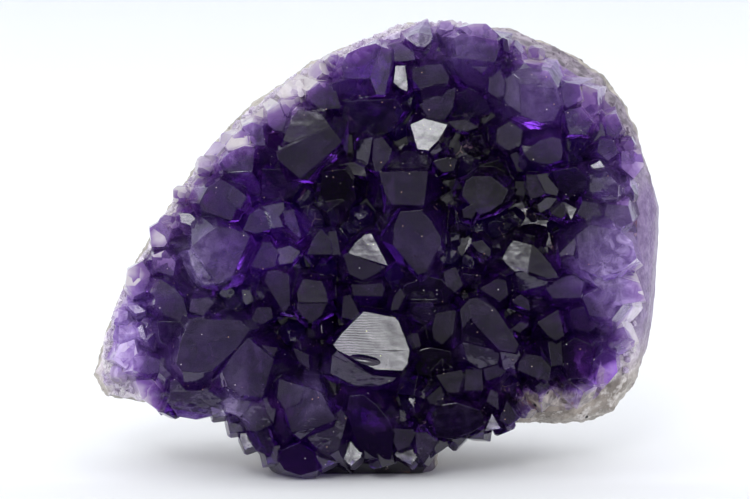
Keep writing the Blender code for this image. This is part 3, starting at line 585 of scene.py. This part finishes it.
class AMETHYST_OT_stage(bpy.types.Operator):
    """Sets up the white floor, the soft light and the camera"""

    bl_idname = "amethyst.stage"
    bl_label = "Studio stage"

    def execute(self, context):
        scene = context.scene
        self.floor(scene.amethyst_stage)
        self.card()
        self.room(scene, scene.amethyst_stage)
        self.camera(scene)
        return {"FINISHED"}

    def floor(self, settings):
        """A white floor that curves up into a wall far behind the piece."""
        bpy.ops.object.select_all(action="DESELECT")
        bpy.ops.mesh.primitive_plane_add(size=1.0, location=(0, 0, 0))
        floor = bpy.context.object
        floor.name = "studio_floor"
        floor.scale = FLOOR_SIZE
        bpy.ops.object.transform_apply(location=False, rotation=False, scale=True)
        bpy.ops.object.mode_set(mode="EDIT")
        bpy.ops.mesh.select_all(action="DESELECT")
        bpy.ops.object.mode_set(mode="OBJECT")
        for edge in floor.data.edges:
            edge.select = all(floor.data.vertices[i].co.y > 0.0 for i in edge.vertices)
        bpy.ops.object.mode_set(mode="EDIT")
        bpy.ops.mesh.select_mode(type="EDGE")
        bpy.ops.mesh.extrude_region_move(TRANSFORM_OT_translate={"value": (0.0, 0.0, WALL_HEIGHT)})
        bpy.ops.object.mode_set(mode="OBJECT")
        bend = floor.modifiers.new("sweep", "BEVEL")
        bend.width = WALL_BEND
        bend.segments = 24
        bpy.ops.object.modifier_apply(modifier="sweep")
        bpy.ops.object.shade_smooth()
        paint = Finish("white_floor")
        colour = settings.floor_colour[:]
        white = paint.mix(paint.noise(3.0, 2.0), colour, [0.985 * part for part in colour])
        along = paint.add("ShaderNodeSeparateXYZ", {"Vector": paint.place}).outputs["Y"]
        # Painted shade: the far floor and its curved back are painted darker and bluer
        far = paint.mix(1.0, white, FAR_SHADE_TINT, "MULTIPLY")
        paint.join(paint.mix(paint.ramp(along, FAR_FROM, FAR_TO), white, far), "Base Color")
        set_values(paint.surface, Roughness=0.65)
        floor.data.materials.append(paint.material)

    def camera(self, scene):
        """A long lens that looks straight at the leaning face."""
        aim = face_point(0, VIEW_HEIGHT, 0)
        out = face_axes()[2]
        camera_data = bpy.data.cameras.new("camera")
        camera_data.lens = VIEW_LENS
        camera_data.sensor_width = 36.0
        camera_data.clip_end = 20.0
        camera = bpy.data.objects.new("camera", camera_data)
        scene.collection.objects.link(camera)
        camera.location = aim + out * VIEW_DISTANCE * MM
        camera.rotation_euler = (-out).to_track_quat("-Z", "Y").to_euler()
        scene.camera = camera
        scene.view_settings.view_transform = "Standard"
        scene.view_settings.look = "None"

    def card(self):
        """A dark card that lies before the piece, out of the picture, for its crystals to mirror."""
        bpy.ops.object.select_all(action="DESELECT")
        bpy.ops.mesh.primitive_plane_add(size=1.0, location=CARD_PLACE)
        card = bpy.context.object
        card.name = "dark_card"
        card.scale = CARD_SIZE
        bpy.ops.object.transform_apply(location=True, rotation=False, scale=True)
        card.visible_camera = False
        card.visible_diffuse = False
        card.visible_shadow = False
        paint = Finish("dark_card")
        set_values(paint.surface, Base_Color=(0.02, 0.02, 0.025, 1.0), Roughness=0.9)
        card.data.materials.append(paint.material)

    def room(self, scene, settings):
        """White light from all round, its strength changed by the parts of the room."""
        world = bpy.data.worlds.new("room_light")
        world.use_nodes = True
        tree = world.node_tree
        sky = tree.nodes["Background"]
        sky.inputs["Color"].default_value = (0.97, 0.98, 1.0, 1.0)
        strength = settings.sky_strength
        for patch in (
            (*TOP_SIDE, TOP_WIDTH, settings.top_strength),
            (*DIM_SIDE, DIM_WIDTH, -settings.dim_strength),
            (*DARK_CEILING_SIDE, DARK_CEILING_WIDTH, DARK_CEILING_STRENGTH),
            (*BACK_SIDE, BACK_WIDTH, BACK_STRENGTH),
            (*WINDOW_SIDE, WINDOW_WIDTH, settings.window_strength),
        ):
            total = tree.nodes.new("ShaderNodeMath")
            total.operation = "ADD"
            self.feed(tree, total.inputs[0], strength)
            self.feed(tree, total.inputs[1], self.patch(tree, *patch))
            strength = total.outputs["Value"]
        tree.links.new(strength, sky.inputs["Strength"])
        scene.world = world

    def feed(self, tree, socket, value):
        """Links a socket's value, or sets a plain one."""
        if isinstance(value, bpy.types.NodeSocket):
            tree.links.new(value, socket)
        else:
            socket.default_value = value

    def patch(self, tree, azimuth, elevation, width, amount):
        """A soft round patch of the room towards one side, which fades over this many degrees."""
        looked = tree.nodes.new("ShaderNodeTexCoord").outputs["Generated"]
        near = tree.nodes.new("ShaderNodeVectorMath")
        near.operation = "DOT_PRODUCT"
        near.inputs[1].default_value = towards_side(azimuth, elevation)
        tree.links.new(looked, near.inputs[0])
        value = near.outputs["Value"]
        steepness = 2.0 / math.radians(width) ** 2
        steps = (("SUBTRACT", 1.0), ("MULTIPLY", steepness), ("EXPONENT", 0.0), ("MULTIPLY", amount))
        for operation, number in steps:
            step = tree.nodes.new("ShaderNodeMath")
            step.operation = operation
            tree.links.new(value, step.inputs[0])
            step.inputs[1].default_value = number
            value = step.outputs["Value"]
        return value


class RockSettings(bpy.types.PropertyGroup):
    """The rock that the crystals grow on, and its rim."""

    skin: FloatVectorProperty(
        name="Skin", description="Colour of the weathered outer skin of the rock",
        subtype="COLOR", size=3, min=0.0, max=1.0, default=(0.38, 0.35, 0.32),
    )
    quartz: FloatVectorProperty(
        name="Rim quartz", description="Colour of the pale sugary quartz that shows at the rim",
        subtype="COLOR", size=3, min=0.0, max=1.0, default=(0.84, 0.77, 0.83),
    )
    grey: FloatVectorProperty(
        name="Grey rim", description="Colour of the grey, granular part of the rim",
        subtype="COLOR", size=3, min=0.0, max=1.0, default=(0.28, 0.24, 0.29),
    )
    polished: FloatVectorProperty(
        name="Polished rim", description="Colour of the polished lilac part of the rim",
        subtype="COLOR", size=3, min=0.0, max=1.0, default=(0.17, 0.11, 0.25),
    )
    beige: FloatVectorProperty(
        name="Beige rim", description="Colour of the part of the rim that is bare rock",
        subtype="COLOR", size=3, min=0.0, max=1.0, default=(0.40, 0.35, 0.31),
    )
    lump: FloatProperty(
        name="Lumps", description="Height of the broad unevenness of the rock",
        default=0.7 * MM, min=0.0, subtype="DISTANCE", unit="LENGTH",
    )
    grain: FloatProperty(
        name="Grains", description="Height of the grains of the rim",
        default=0.45 * MM, min=0.0, subtype="DISTANCE", unit="LENGTH",
    )


class AMETHYST_OT_rock(bpy.types.Operator):
    """Finishes the rock: rough skin behind, pale sugary quartz and grey grains along the rim"""

    bl_idname = "amethyst.rock"
    bl_label = "Rock"

    def execute(self, context):
        settings = context.scene.amethyst_rock
        rock = cad_copy("rock_matrix", "rock")
        alone(rock)
        bpy.ops.object.mode_set(mode="EDIT")
        bpy.ops.mesh.select_all(action="SELECT")
        bpy.ops.mesh.subdivide(number_cuts=3, smoothness=0.0)
        bpy.ops.mesh.select_all(action="DESELECT")
        bpy.ops.object.mode_set(mode="OBJECT")
        self.select_rim(rock)
        bpy.ops.object.mode_set(mode="EDIT")
        bpy.ops.mesh.subdivide(number_cuts=2, smoothness=0.0)
        bpy.ops.object.mode_set(mode="OBJECT")
        self.roughen(rock, settings)
        self.shade(rock, settings)
        bpy.ops.object.shade_smooth()
        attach(rock, "root")
        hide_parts("rock_matrix")
        return {"FINISHED"}

    def select_rim(self, rock):
        """Selects the faces of the rim that show from the front."""
        for face in rock.data.polygons:
            place = on_face(face.center)
            depth, width = rim_depth(place.x, place.y)
            face.select = place.z > -10.0 and depth < width + 2.0

    def roughen(self, rock, settings):
        """Moves the surface in and out by lumps and grains, not at all at the foot."""
        bm = bmesh.new()
        bm.from_mesh(rock.data)
        bm.normal_update()
        moves = []
        for vert in bm.verts:
            place = vert.co / MM
            rise = settings.lump * (noise.fractal(place / 4.0, 0.9, 2.1, 4) * 0.8 - 0.45)
            grain = settings.grain * (0.4 - noise.voronoi(place / 1.5)[0][0])
            polish = spread(on_face(vert.co), POLISHED_RIM)
            share = clamped(place.z / 1.5) * (1.0 - 0.8 * polish)
            moves.append(vert.normal * (rise + grain - 0.2 * MM) * share)
        for vert, move in zip(bm.verts, moves):
            vert.co += move
        bm.to_mesh(rock.data)
        bm.free()

    def shade(self, rock, settings):
        """Paints the kinds of rim, paints shade round the foot, and gives the rock its finish."""
        depths, kinds = stored(rock.data, depth="FLOAT_COLOR", kind="FLOAT_COLOR")
        for vert, depth_cell, kind_cell in zip(rock.data.vertices, depths, kinds):
            place = on_face(vert.co)
            depth, width = rim_depth(place.x, place.y)
            front = clamped((place.z - bed_height(place.x, place.y) + 6.0) / 5.0)
            inner = clamped((depth - width) / 2.5 + 0.5)
            depth_cell.color = (front, inner, 0.0, 1.0)
            kind_cell.color = [spread(place, zones) for zones in RIM_KINDS]
        finish = Finish("pale_rock")
        depth = finish.parts(finish.attribute("depth").outputs["Color"])
        kind = finish.parts(finish.attribute("kind").outputs["Color"])
        broad = finish.noise(150.0, 5.0)
        mottle = finish.noise(420.0, 6.0, 0.65)
        fine = finish.noise(1500.0, 4.0)
        sugar = finish.cells(1300.0).outputs["Distance"]
        skin = finish.blotches(finish.ramp(broad, 0.3, 0.7), settings.skin, 0.72, 1.3)
        skin = finish.mix(finish.ramp(mottle, 0.42, 0.62), skin, [part * 1.5 for part in settings.skin])
        skin = finish.mix(finish.ramp(finish.noise(700.0, 3.0), 0.62, 0.70), skin, SKIN_PITS)
        quartz = finish.mix(finish.ramp(mottle, 0.35, 0.6), RIM_LILAC, settings.quartz[:])
        quartz = finish.mix(finish.ramp(sugar, 0.15, 0.6), RIM_SUGAR, quartz)
        grey = finish.blotches(finish.ramp(mottle, 0.4, 0.6), settings.grey, 0.6, 1.35)
        grey = finish.mix(finish.ramp(finish.noise(900.0, 3.0), 0.58, 0.66), grey, GREY_PITS)
        beige = finish.blotches(finish.ramp(broad, 0.4, 0.6), settings.beige, 0.6, 1.2)
        beige = finish.mix(finish.ramp(mottle, 0.5, 0.62), beige, BEIGE_PATCHES)
        beige = finish.specked(beige)
        polished = finish.mix(finish.ramp(mottle, 0.42, 0.62), settings.polished[:], POLISHED_PATCHES)
        near = finish.ramp(depth["Red"], 0.0, 0.3)
        skin = finish.mix(finish.math("MULTIPLY", kind["Green"], 0.85), skin, polished)
        skin = finish.mix(finish.math("MULTIPLY", kind["Red"], near), skin, grey)
        band = finish.mix(kind["Red"], quartz, grey)
        band = finish.mix(kind["Green"], band, polished)
        band = finish.mix(kind["Blue"], band, beige)
        band = finish.mix(finish.ramp(depth["Green"], 0.45, 1.0), band, RIM_INNER_EDGE)
        jitter = finish.ramp(mottle, 0.3, 0.7, -0.2, 0.2)
        edge = finish.ramp(finish.math("ADD", depth["Red"], jitter), 0.45, 0.6)
        foot = finish.math("MULTIPLY", finish.attribute("kind").outputs["Alpha"], near)
        # Painted shade on the rock round the foot
        finish.join(finish.mix(foot, finish.mix(edge, skin, band), FOOT_SHADE), "Base Color")
        rough = finish.mix(kind["Green"], (0.75, 0.75, 0.75), (0.35, 0.35, 0.35))
        finish.join(rough, "Roughness")
        grains = finish.bump(finish.ramp(sugar, 0.0, 0.8, 1.0, 0.0), 0.6, 0.25 * MM)
        finish.join(finish.bump(mottle, 0.6, 0.4 * MM, finish.bump(fine, 0.5, 0.15 * MM, grains)), "Normal")
        rock.data.materials.append(finish.material)


class DruseSettings(bpy.types.PropertyGroup):
    """The fine pale crystals along the rim."""

    colour: FloatVectorProperty(
        name="Colour", description="Colour of the fine crystals of the rim",
        subtype="COLOR", size=3, min=0.0, max=1.0, default=(0.94, 0.89, 0.93),
    )
    count: IntProperty(
        name="Count", description="How many places for a fine crystal are tried", default=2600, min=1,
    )
    seed: IntProperty(name="Seed", description="Changes where the fine crystals stand", default=3)


class AMETHYST_OT_druse(bpy.types.Operator):
    """Grows the fine pale quartz points along the rim, between the rock and the amethyst"""

    bl_idname = "amethyst.druse"
    bl_label = "Rim druse"

    def execute(self, context):
        settings = context.scene.amethyst_druse
        draw = random.Random(settings.seed)
        model = quartz_point("druse_model")
        surface = surface_of(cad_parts["rock_matrix"].data)
        out = face_axes()[2]
        copies = []
        for _ in range(settings.count):
            corner = draw.randrange(len(OUTLINE))
            a, b = OUTLINE[corner - 1], OUTLINE[corner]
            along = draw.random()
            inset = draw.uniform(0.4, 1.1) * (a[2] + (b[2] - a[2]) * along) + 0.6
            edge = Vector(a[:2]).lerp(Vector(b[:2]), along)
            inward = (Vector(b[:2]) - Vector(a[:2])).orthogonal().normalized()
            u, v = edge + inward * inset
            bare = max(spread(Vector((u, v)), zones) for zones in NO_DRUSE)
            if draw.random() < 1.3 * bare:
                continue
            hit, normal, _, _ = surface.ray_cast(face_point(u, v, RAY_HEIGHT), -out)
            if hit is None or normal.dot(out) < 0.2 or hit.z < LOWEST_GROWTH * MM:
                continue
            place = on_face(hit)
            aim = [math.degrees(normal.dot(axis)) for axis in face_axes()]
            radius = draw.uniform(0.35, 0.95)
            right = 0.7 * aim[0] + draw.uniform(-30, 30)
            up = 0.7 * aim[1] + draw.uniform(-30, 30)
            sunk = place - Vector((0, 0, 0.3 * radius))
            length = radius * draw.uniform(0.9, 1.5)
            copies.append(stood(model, sunk, radius, length, right, up, draw.uniform(0, 360)))
        druse = gathered("rim_druse", model, copies)
        druse.data.shade_flat()
        finish = Finish("pale_quartz")
        mottle = finish.noise(300.0, 4.0)
        shade = finish.mix(finish.ramp(mottle, 0.35, 0.65), DRUSE_LILAC, settings.colour[:])
        finish.join(shade, "Base Color")
        finish.join(finish.ramp(finish.noise(900.0, 2.0), 0.3, 0.7, 0.12, 0.4), "Roughness")
        set_values(finish.surface, Transmission_Weight=0.35, IOR=QUARTZ_IOR)
        druse.data.materials.append(finish.material)
        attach(druse, "root")
        return {"FINISHED"}


class CrystalSettings(bpy.types.PropertyGroup):
    """The amethyst crystals."""

    deep: FloatVectorProperty(
        name="Deep violet", description="Colour of the darkest crystals",
        subtype="COLOR", size=3, min=0.0, max=1.0, default=(0.070, 0.013, 0.23),
    )
    violet: FloatVectorProperty(
        name="Violet", description="Colour of the crystals that light passes through",
        subtype="COLOR", size=3, min=0.0, max=1.0, default=(0.19, 0.037, 0.45),
    )
    pale: FloatVectorProperty(
        name="Pale lilac", description="Colour of the crystals beside the rim",
        subtype="COLOR", size=3, min=0.0, max=1.0, default=(0.36, 0.19, 0.56),
    )
    glow: FloatVectorProperty(
        name="Glow", description="Colour of the crystals where bright light comes through",
        subtype="COLOR", size=3, min=0.0, max=1.0, default=(0.26, 0.06, 0.66),
    )
    frost: FloatVectorProperty(
        name="Frost", description="Colour of the whitish quartz at the very rim",
        subtype="COLOR", size=3, min=0.0, max=1.0, default=(0.93, 0.86, 0.91),
    )
    veil: FloatVectorProperty(
        name="Veils", description="Colour of the milky veils inside the crystals",
        subtype="COLOR", size=3, min=0.0, max=1.0, default=(0.70, 0.58, 0.93),
    )
    wear: FloatProperty(
        name="Edge wear", description="Width of the worn edges between the faces",
        default=0.05 * MM, min=0.0, subtype="DISTANCE", unit="LENGTH",
    )
    filler_spacing: FloatProperty(
        name="Filler spacing", description="How far apart the small crystals between the large ones stand",
        default=3.1 * MM, min=1.5 * MM, subtype="DISTANCE", unit="LENGTH",
    )
    filler_seed: IntProperty(
        name="Filler seed", description="Changes how the small crystals stand", default=5,
    )


class AMETHYST_OT_crystals(bpy.types.Operator):
    """Finishes the crystals: small ones between the large, clear violet quartz that is pale near the rim"""

    bl_idname = "amethyst.crystals"
    bl_label = "Crystals"

    def execute(self, context):
        settings = context.scene.amethyst_crystals
        crust = cad_copy("amethyst_crystals", "crystals")
        self.join_solid(crust, self.chip(crust, *CHIP), "DIFFERENCE")
        self.join_solid(crust, self.fillers(crust, settings), "UNION")
        self.wear_edges(crust, settings.wear)
        crust.data.shade_flat()
        self.shade(crust, settings)
        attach(crust, "root")
        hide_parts("amethyst_crystals")
        return {"FINISHED"}

    def fillers(self, crust, settings):
        """Small crystals wherever the bed between the large ones is bare, as one object."""
        draw = random.Random(settings.filler_seed)
        model = quartz_point("filler_model")
        surface = surface_of(crust.data)
        out = face_axes()[2]
        spacing = settings.filler_spacing / MM
        copies = []
        for row in range(int(100 / spacing)):
            for column in range(int(124 / spacing)):
                u = -62 + (column + 0.5 * (row % 2)) * spacing + draw.uniform(-0.4, 0.4) * spacing
                v = -4 + row * spacing + draw.uniform(-0.4, 0.4) * spacing
                depth, width = rim_depth(u, v)
                if depth < width + 0.6 or face_point(u, v, 0.0).z < LOWEST_GROWTH * MM:
                    continue
                bed = bed_height(u, v)
                hit = surface.ray_cast(face_point(u, v, RAY_HEIGHT), -out)[0]
                if hit is None or on_face(hit).z - bed > BARE_BED:
                    continue
                radius = draw.uniform(1.7, 3.3)
                length = radius * draw.uniform(1.1, 1.5) + 1.6
                right = 26.0 * (u - FACE_CENTRE[0]) / BED_HALF_WIDTH + draw.uniform(-24, 24)
                up = 26.0 * (v - FACE_CENTRE[1]) / BED_HALF_HEIGHT + draw.uniform(-24, 24)
                place = (u, v, bed + 0.6)
                copies.append(stood(model, place, radius, length, right, up, draw.uniform(0, 360)))
        return gathered("fillers", model, copies)

    def chip(self, crust, u, v, length, width, deep, turn):
        """A lens-shaped solid that takes a shallow chip out of the face at a place."""
        surface = surface_of(crust.data)
        hit, normal, _, _ = surface.ray_cast(face_point(u, v, RAY_HEIGHT), -face_axes()[2])
        bpy.ops.object.select_all(action="DESELECT")
        bpy.ops.mesh.primitive_ico_sphere_add(subdivisions=4, radius=1.0)
        lens = bpy.context.object
        size = Matrix.Diagonal((length * MM, width * MM, 1.5 * deep * MM, 1.0))
        facing = normal.to_track_quat("Z", "Y").to_matrix().to_4x4()
        turned = facing @ Matrix.Rotation(math.radians(turn), 4, "Z")
        lens.data.transform(Matrix.Translation(hit + normal * 0.5 * deep * MM) @ turned @ size)
        return lens

    def join_solid(self, crust, solid, operation):
        """Adds a solid to the crust, or takes it away, so that the quartz stays one clear body."""
        change = crust.modifiers.new("change", "BOOLEAN")
        change.operation = operation
        change.object = solid
        change.use_self = operation == "UNION"
        alone(crust)
        bpy.ops.object.modifier_apply(modifier="change")
        bpy.data.objects.remove(solid)

    def wear_edges(self, crust, width):
        """Takes the sharpness off the edges, so that they catch a thin line of light."""
        worn = crust.modifiers.new("worn", "BEVEL")
        worn.width = width
        worn.segments = 1
        worn.angle_limit = math.radians(22)
        worn.use_clamp_overlap = False
        alone(crust)
        bpy.ops.object.modifier_apply(modifier="worn")

    def shade(self, crust, settings):
        """Paints where the quartz is deep, bright or milky, paints shade between the crystals, and gives it
        its clear violet finish.
        """
        self.paint_zones(crust.data)
        self.paint_facets(crust.data, settings.filler_seed)
        finish = Finish("amethyst")
        zones = finish.parts(finish.attribute("zone").outputs["Color"])
        marks = finish.parts(finish.attribute("mark").outputs["Color"])
        stony = finish.attribute("mark").outputs["Alpha"]
        facet = finish.attribute("facet").outputs["Fac"]
        patches = finish.noise(110.0, 3.0, 0.5)
        veils = finish.noise(330.0, 7.0, 0.65, 0.8)
        shift = finish.ramp(patches, 0.3, 0.7, -0.22, 0.22)
        shift = finish.math("ADD", shift, finish.ramp(facet, 0.0, 1.0, -0.14, 0.14))
        planes = finish.cells(260.0, metric="MANHATTAN")
        plane_tone = finish.parts(planes.outputs["Color"])["Red"]
        shift = finish.math("ADD", shift, finish.ramp(plane_tone, 0.0, 1.0, -0.16, 0.16))
        shift = finish.math("MULTIPLY", shift, finish.ramp(zones["Red"], 0.0, 0.4, 0.4, 1.0))
        depth = finish.math("ADD", zones["Red"], shift, clamp=True)
        frost = finish.mix(marks["Blue"], settings.frost[:], GREY_FROST)
        outer = finish.mix(finish.ramp(depth, 0.02, 0.16), frost, settings.pale[:])
        outer = finish.mix(finish.ramp(depth, 0.12, 0.40), outer, settings.violet[:])
        stone = finish.specked(finish.mix(finish.ramp(veils, 0.4, 0.6), STONE_DARK, STONE_LIGHT))
        bare = finish.ramp(finish.math("SUBTRACT", stony, depth), -0.1, 0.2)
        outer = finish.mix(bare, outer, stone)
        body = finish.mix(finish.ramp(depth, 0.4, 0.85), outer, settings.deep[:])
        glowing = finish.ramp(finish.math("ADD", zones["Green"], shift), 0.1, 0.9)
        body = finish.mix(glowing, body, settings.glow[:])
        # Painted shade: near black low between the crystals and in the darkest zones, less where light comes
        # through
        painted_shade = finish.math("MAXIMUM", marks["Red"], finish.attribute("dark").outputs["Fac"])
        painted_shade = finish.math("MULTIPLY", painted_shade, finish.ramp(depth, 0.2, 0.6, 0.0, 0.88))
        painted_shade = finish.math("MULTIPLY", painted_shade, finish.math("SUBTRACT", 1.0, zones["Green"], clamp=True))
        body = finish.mix(painted_shade, body, CREVICE_SHADE)
        milky = finish.math("MULTIPLY", zones["Blue"], finish.ramp(veils, 0.38, 0.62, 0.35, 1.0))
        cloudy = finish.ramp(facet, 0.4, 1.0, 0.0, 0.28)
        cloudy = finish.math("MULTIPLY", cloudy, finish.ramp(veils, 0.45, 0.62))
        cloudy = finish.math("ADD", cloudy, finish.ramp(plane_tone, 0.75, 0.78, 0.0, 0.10))
        smooth = finish.ramp(marks["Green"], 0.0, 0.5, 1.0, 0.0)
        shown = finish.math("MULTIPLY", smooth, finish.ramp(depth, 0.5, 1.0, 1.0, 0.5))
        cloudy = finish.math("MULTIPLY", cloudy, shown)
        milky = finish.math("MAXIMUM", milky, cloudy)
        body = finish.mix(finish.math("MULTIPLY", milky, 0.88), body, settings.veil[:])
        stain = finish.ramp(finish.noise(450.0, 4.0, 0.6, 0.5), 0.64, 0.70)
        stain = finish.math("MULTIPLY", marks["Red"], stain)
        body = finish.mix(finish.math("MULTIPLY", stain, 0.6), body, STAIN)
        seams = finish.cells(170.0, "DISTANCE_TO_EDGE").outputs["Distance"]
        seam = finish.ramp(seams, 0.006, 0.014, 1.0, 0.0)
        seam = finish.math("MULTIPLY", seam, finish.ramp(veils, 0.52, 0.6))
        seam = finish.math("MULTIPLY", seam, finish.ramp(marks["Red"], 0.25, 0.6))
        body = finish.mix(finish.math("MULTIPLY", seam, 0.6), body, SEAM)
        dust = finish.cells(700.0)
        chosen = finish.parts(dust.outputs["Color"])["Red"]
        speck = finish.ramp(dust.outputs["Distance"], 0.06, 0.10, 1.0, 0.0)
        speck = finish.math("MULTIPLY", speck, finish.ramp(chosen, 0.66, 0.68))
        grit = finish.mix(finish.ramp(veils, 0.45, 0.55), DUST_BROWN, DUST_WHITE)
        body = finish.mix(speck, body, grit)
        finish.join(body, "Base Color")
        clear = finish.ramp(depth, 0.3, 0.9, 0.86, 0.94)
        clear = finish.math("SUBTRACT", clear, finish.math("MULTIPLY", milky, 0.6))
        clear = finish.math("SUBTRACT", clear, finish.ramp(depth, 0.0, 0.5, 0.45, 0.0))
        clear = finish.math("MULTIPLY", clear, finish.math("SUBTRACT", 1.0, bare), clamp=True)
        solid = finish.math("MAXIMUM", speck, finish.math("MULTIPLY", stain, 0.8))
        solid = finish.math("MAXIMUM", solid, finish.math("MULTIPLY", seam, 0.6))
        clear = finish.math("MULTIPLY", clear, finish.math("SUBTRACT", 1.0, solid))
        finish.join(clear, "Transmission Weight")
        gloss = finish.ramp(finish.noise(520.0, 3.0), 0.35, 0.75, 0.03, 0.12)
        gloss = finish.math("ADD", gloss, finish.ramp(depth, 0.0, 0.4, 0.08, 0.0))
        finish.join(gloss, "Roughness")
        swell = finish.noise(240.0, 2.0, 0.5)
        lines = finish.add(
            "ShaderNodeTexWave",
            {"Vector": finish.place, "Scale": 620.0, "Distortion": 7.0, "Detail": 2.0, "Detail Scale": 0.3},
            bands_direction="Z",
        ).outputs["Fac"]
        cut = finish.ramp(marks["Green"], 0.45, 0.9, 0.03, 0.9)
        lines = finish.math("MULTIPLY", lines, cut)
        ground = finish.bump(lines, 0.5, 0.012 * MM, finish.bump(veils, 0.15, 0.05 * MM))
        planed = finish.math("MULTIPLY", planes.outputs["Distance"], smooth)
        ground = finish.bump(planed, 0.5, 0.08 * MM, ground)
        swollen = finish.math("MULTIPLY", swell, finish.ramp(smooth, 0.0, 1.0, 0.35, 1.0))
        finish.join(finish.bump(swollen, 0.7, 0.25 * MM, ground), "Normal")
        set_values(finish.surface, IOR=QUARTZ_IOR)
        volume = finish.add("ShaderNodeVolumeAbsorption")
        set_values(volume, Color=(*ABSORPTION, 1.0), Density=ABSORPTION_DENSITY)
        finish.tree.links.new(volume.outputs["Volume"], finish.output.inputs["Volume"])
        crust.data.materials.append(finish.material)

    def paint_zones(self, mesh):
        """Stores how deep inside the rim, how bright and how milky each place is, how low it lies, where
        shade is painted, its growth lines and its kinds of rim.
        """
        zones, marks, darks = stored(mesh, zone="FLOAT_COLOR", mark="FLOAT_COLOR", dark="FLOAT")
        for vert, zone, mark, dark in zip(mesh.vertices, zones, marks, darks):
            place = on_face(vert.co)
            depth, width = rim_depth(place.x, place.y)
            height = place.z - bed_height(place.x, place.y)
            inner = clamped((depth - width + 0.4 * height) / FULL_VIOLET)
            inner = max(inner, spread(place, DARK_EDGE))
            inner *= 1.0 - 0.85 * spread(place, PALE_ZONES)
            # How low a place lies over the bed: where shade is painted between the crystals, and where stains
            # and seams go
            low = clamped((SHADE_TOP - height) / SHADE_FADE)
            zone.color = (inner, spread(place, GLOW_ZONES), spread(place, HAZE_ZONES), 1.0)
            mark.color = (low, spread(place, STRIATED), spread(place, GREY_RIM), spread(place, BEIGE_RIM))
            # Where the darkest painted shade goes
            dark.value = spread(place, DARK_ZONES)

    def paint_facets(self, mesh, seed):
        """Gives every plane face one tone of its own."""
        draw = random.Random(seed)
        tones = {}
        facet = mesh.attributes.new("facet", "FLOAT", "FACE")
        for face, cell in zip(mesh.polygons, facet.data):
            offset = face.normal.dot(face.center) / MM
            key = (*[round(part * 20) for part in face.normal], round(offset * 2))
            cell.value = tones.setdefault(key, draw.random())


class AMETHYST_PT_cluster(bpy.types.Panel):
    """Lists the pieces of the cluster and their settings"""

    bl_label = "Amethyst cluster"
    bl_idname = "AMETHYST_PT_cluster"
    bl_space_type = "VIEW_3D"
    bl_region_type = "UI"
    bl_category = "Amethyst"

    def draw(self, context):
        for operator, settings, names in PANEL_ROWS:
            box = self.layout.box()
            box.operator(operator)
            for name in names:
                box.prop(getattr(context.scene, settings), name)


PANEL_ROWS = (
    (
        "amethyst.stage",
        "amethyst_stage",
        ("floor_colour", "sky_strength", "top_strength", "dim_strength", "window_strength"),
    ),
    ("amethyst.rock", "amethyst_rock", ("skin", "quartz", "grey", "polished", "beige", "lump", "grain")),
    ("amethyst.druse", "amethyst_druse", ("colour", "count", "seed")),
    (
        "amethyst.crystals",
        "amethyst_crystals",
        ("deep", "violet", "pale", "glow", "frost", "veil", "wear", "filler_spacing", "filler_seed"),
    ),
)
CLASSES = (
    StageSettings,
    RockSettings,
    DruseSettings,
    CrystalSettings,
    AMETHYST_OT_stage,
    AMETHYST_OT_rock,
    AMETHYST_OT_druse,
    AMETHYST_OT_crystals,
    AMETHYST_PT_cluster,
)


def register():
    for cls in CLASSES:
        bpy.utils.register_class(cls)
    bpy.types.Scene.amethyst_stage = PointerProperty(type=StageSettings)
    bpy.types.Scene.amethyst_rock = PointerProperty(type=RockSettings)
    bpy.types.Scene.amethyst_druse = PointerProperty(type=DruseSettings)
    bpy.types.Scene.amethyst_crystals = PointerProperty(type=CrystalSettings)


def unregister():
    del bpy.types.Scene.amethyst_crystals
    del bpy.types.Scene.amethyst_druse
    del bpy.types.Scene.amethyst_rock
    del bpy.types.Scene.amethyst_stage
    for cls in reversed(CLASSES):
        bpy.utils.unregister_class(cls)


def main():
    register()
    bpy.ops.amethyst.stage()
    bpy.ops.amethyst.rock()
    bpy.ops.amethyst.druse()
    bpy.ops.amethyst.crystals()


if __name__ == "__main__":
    main()
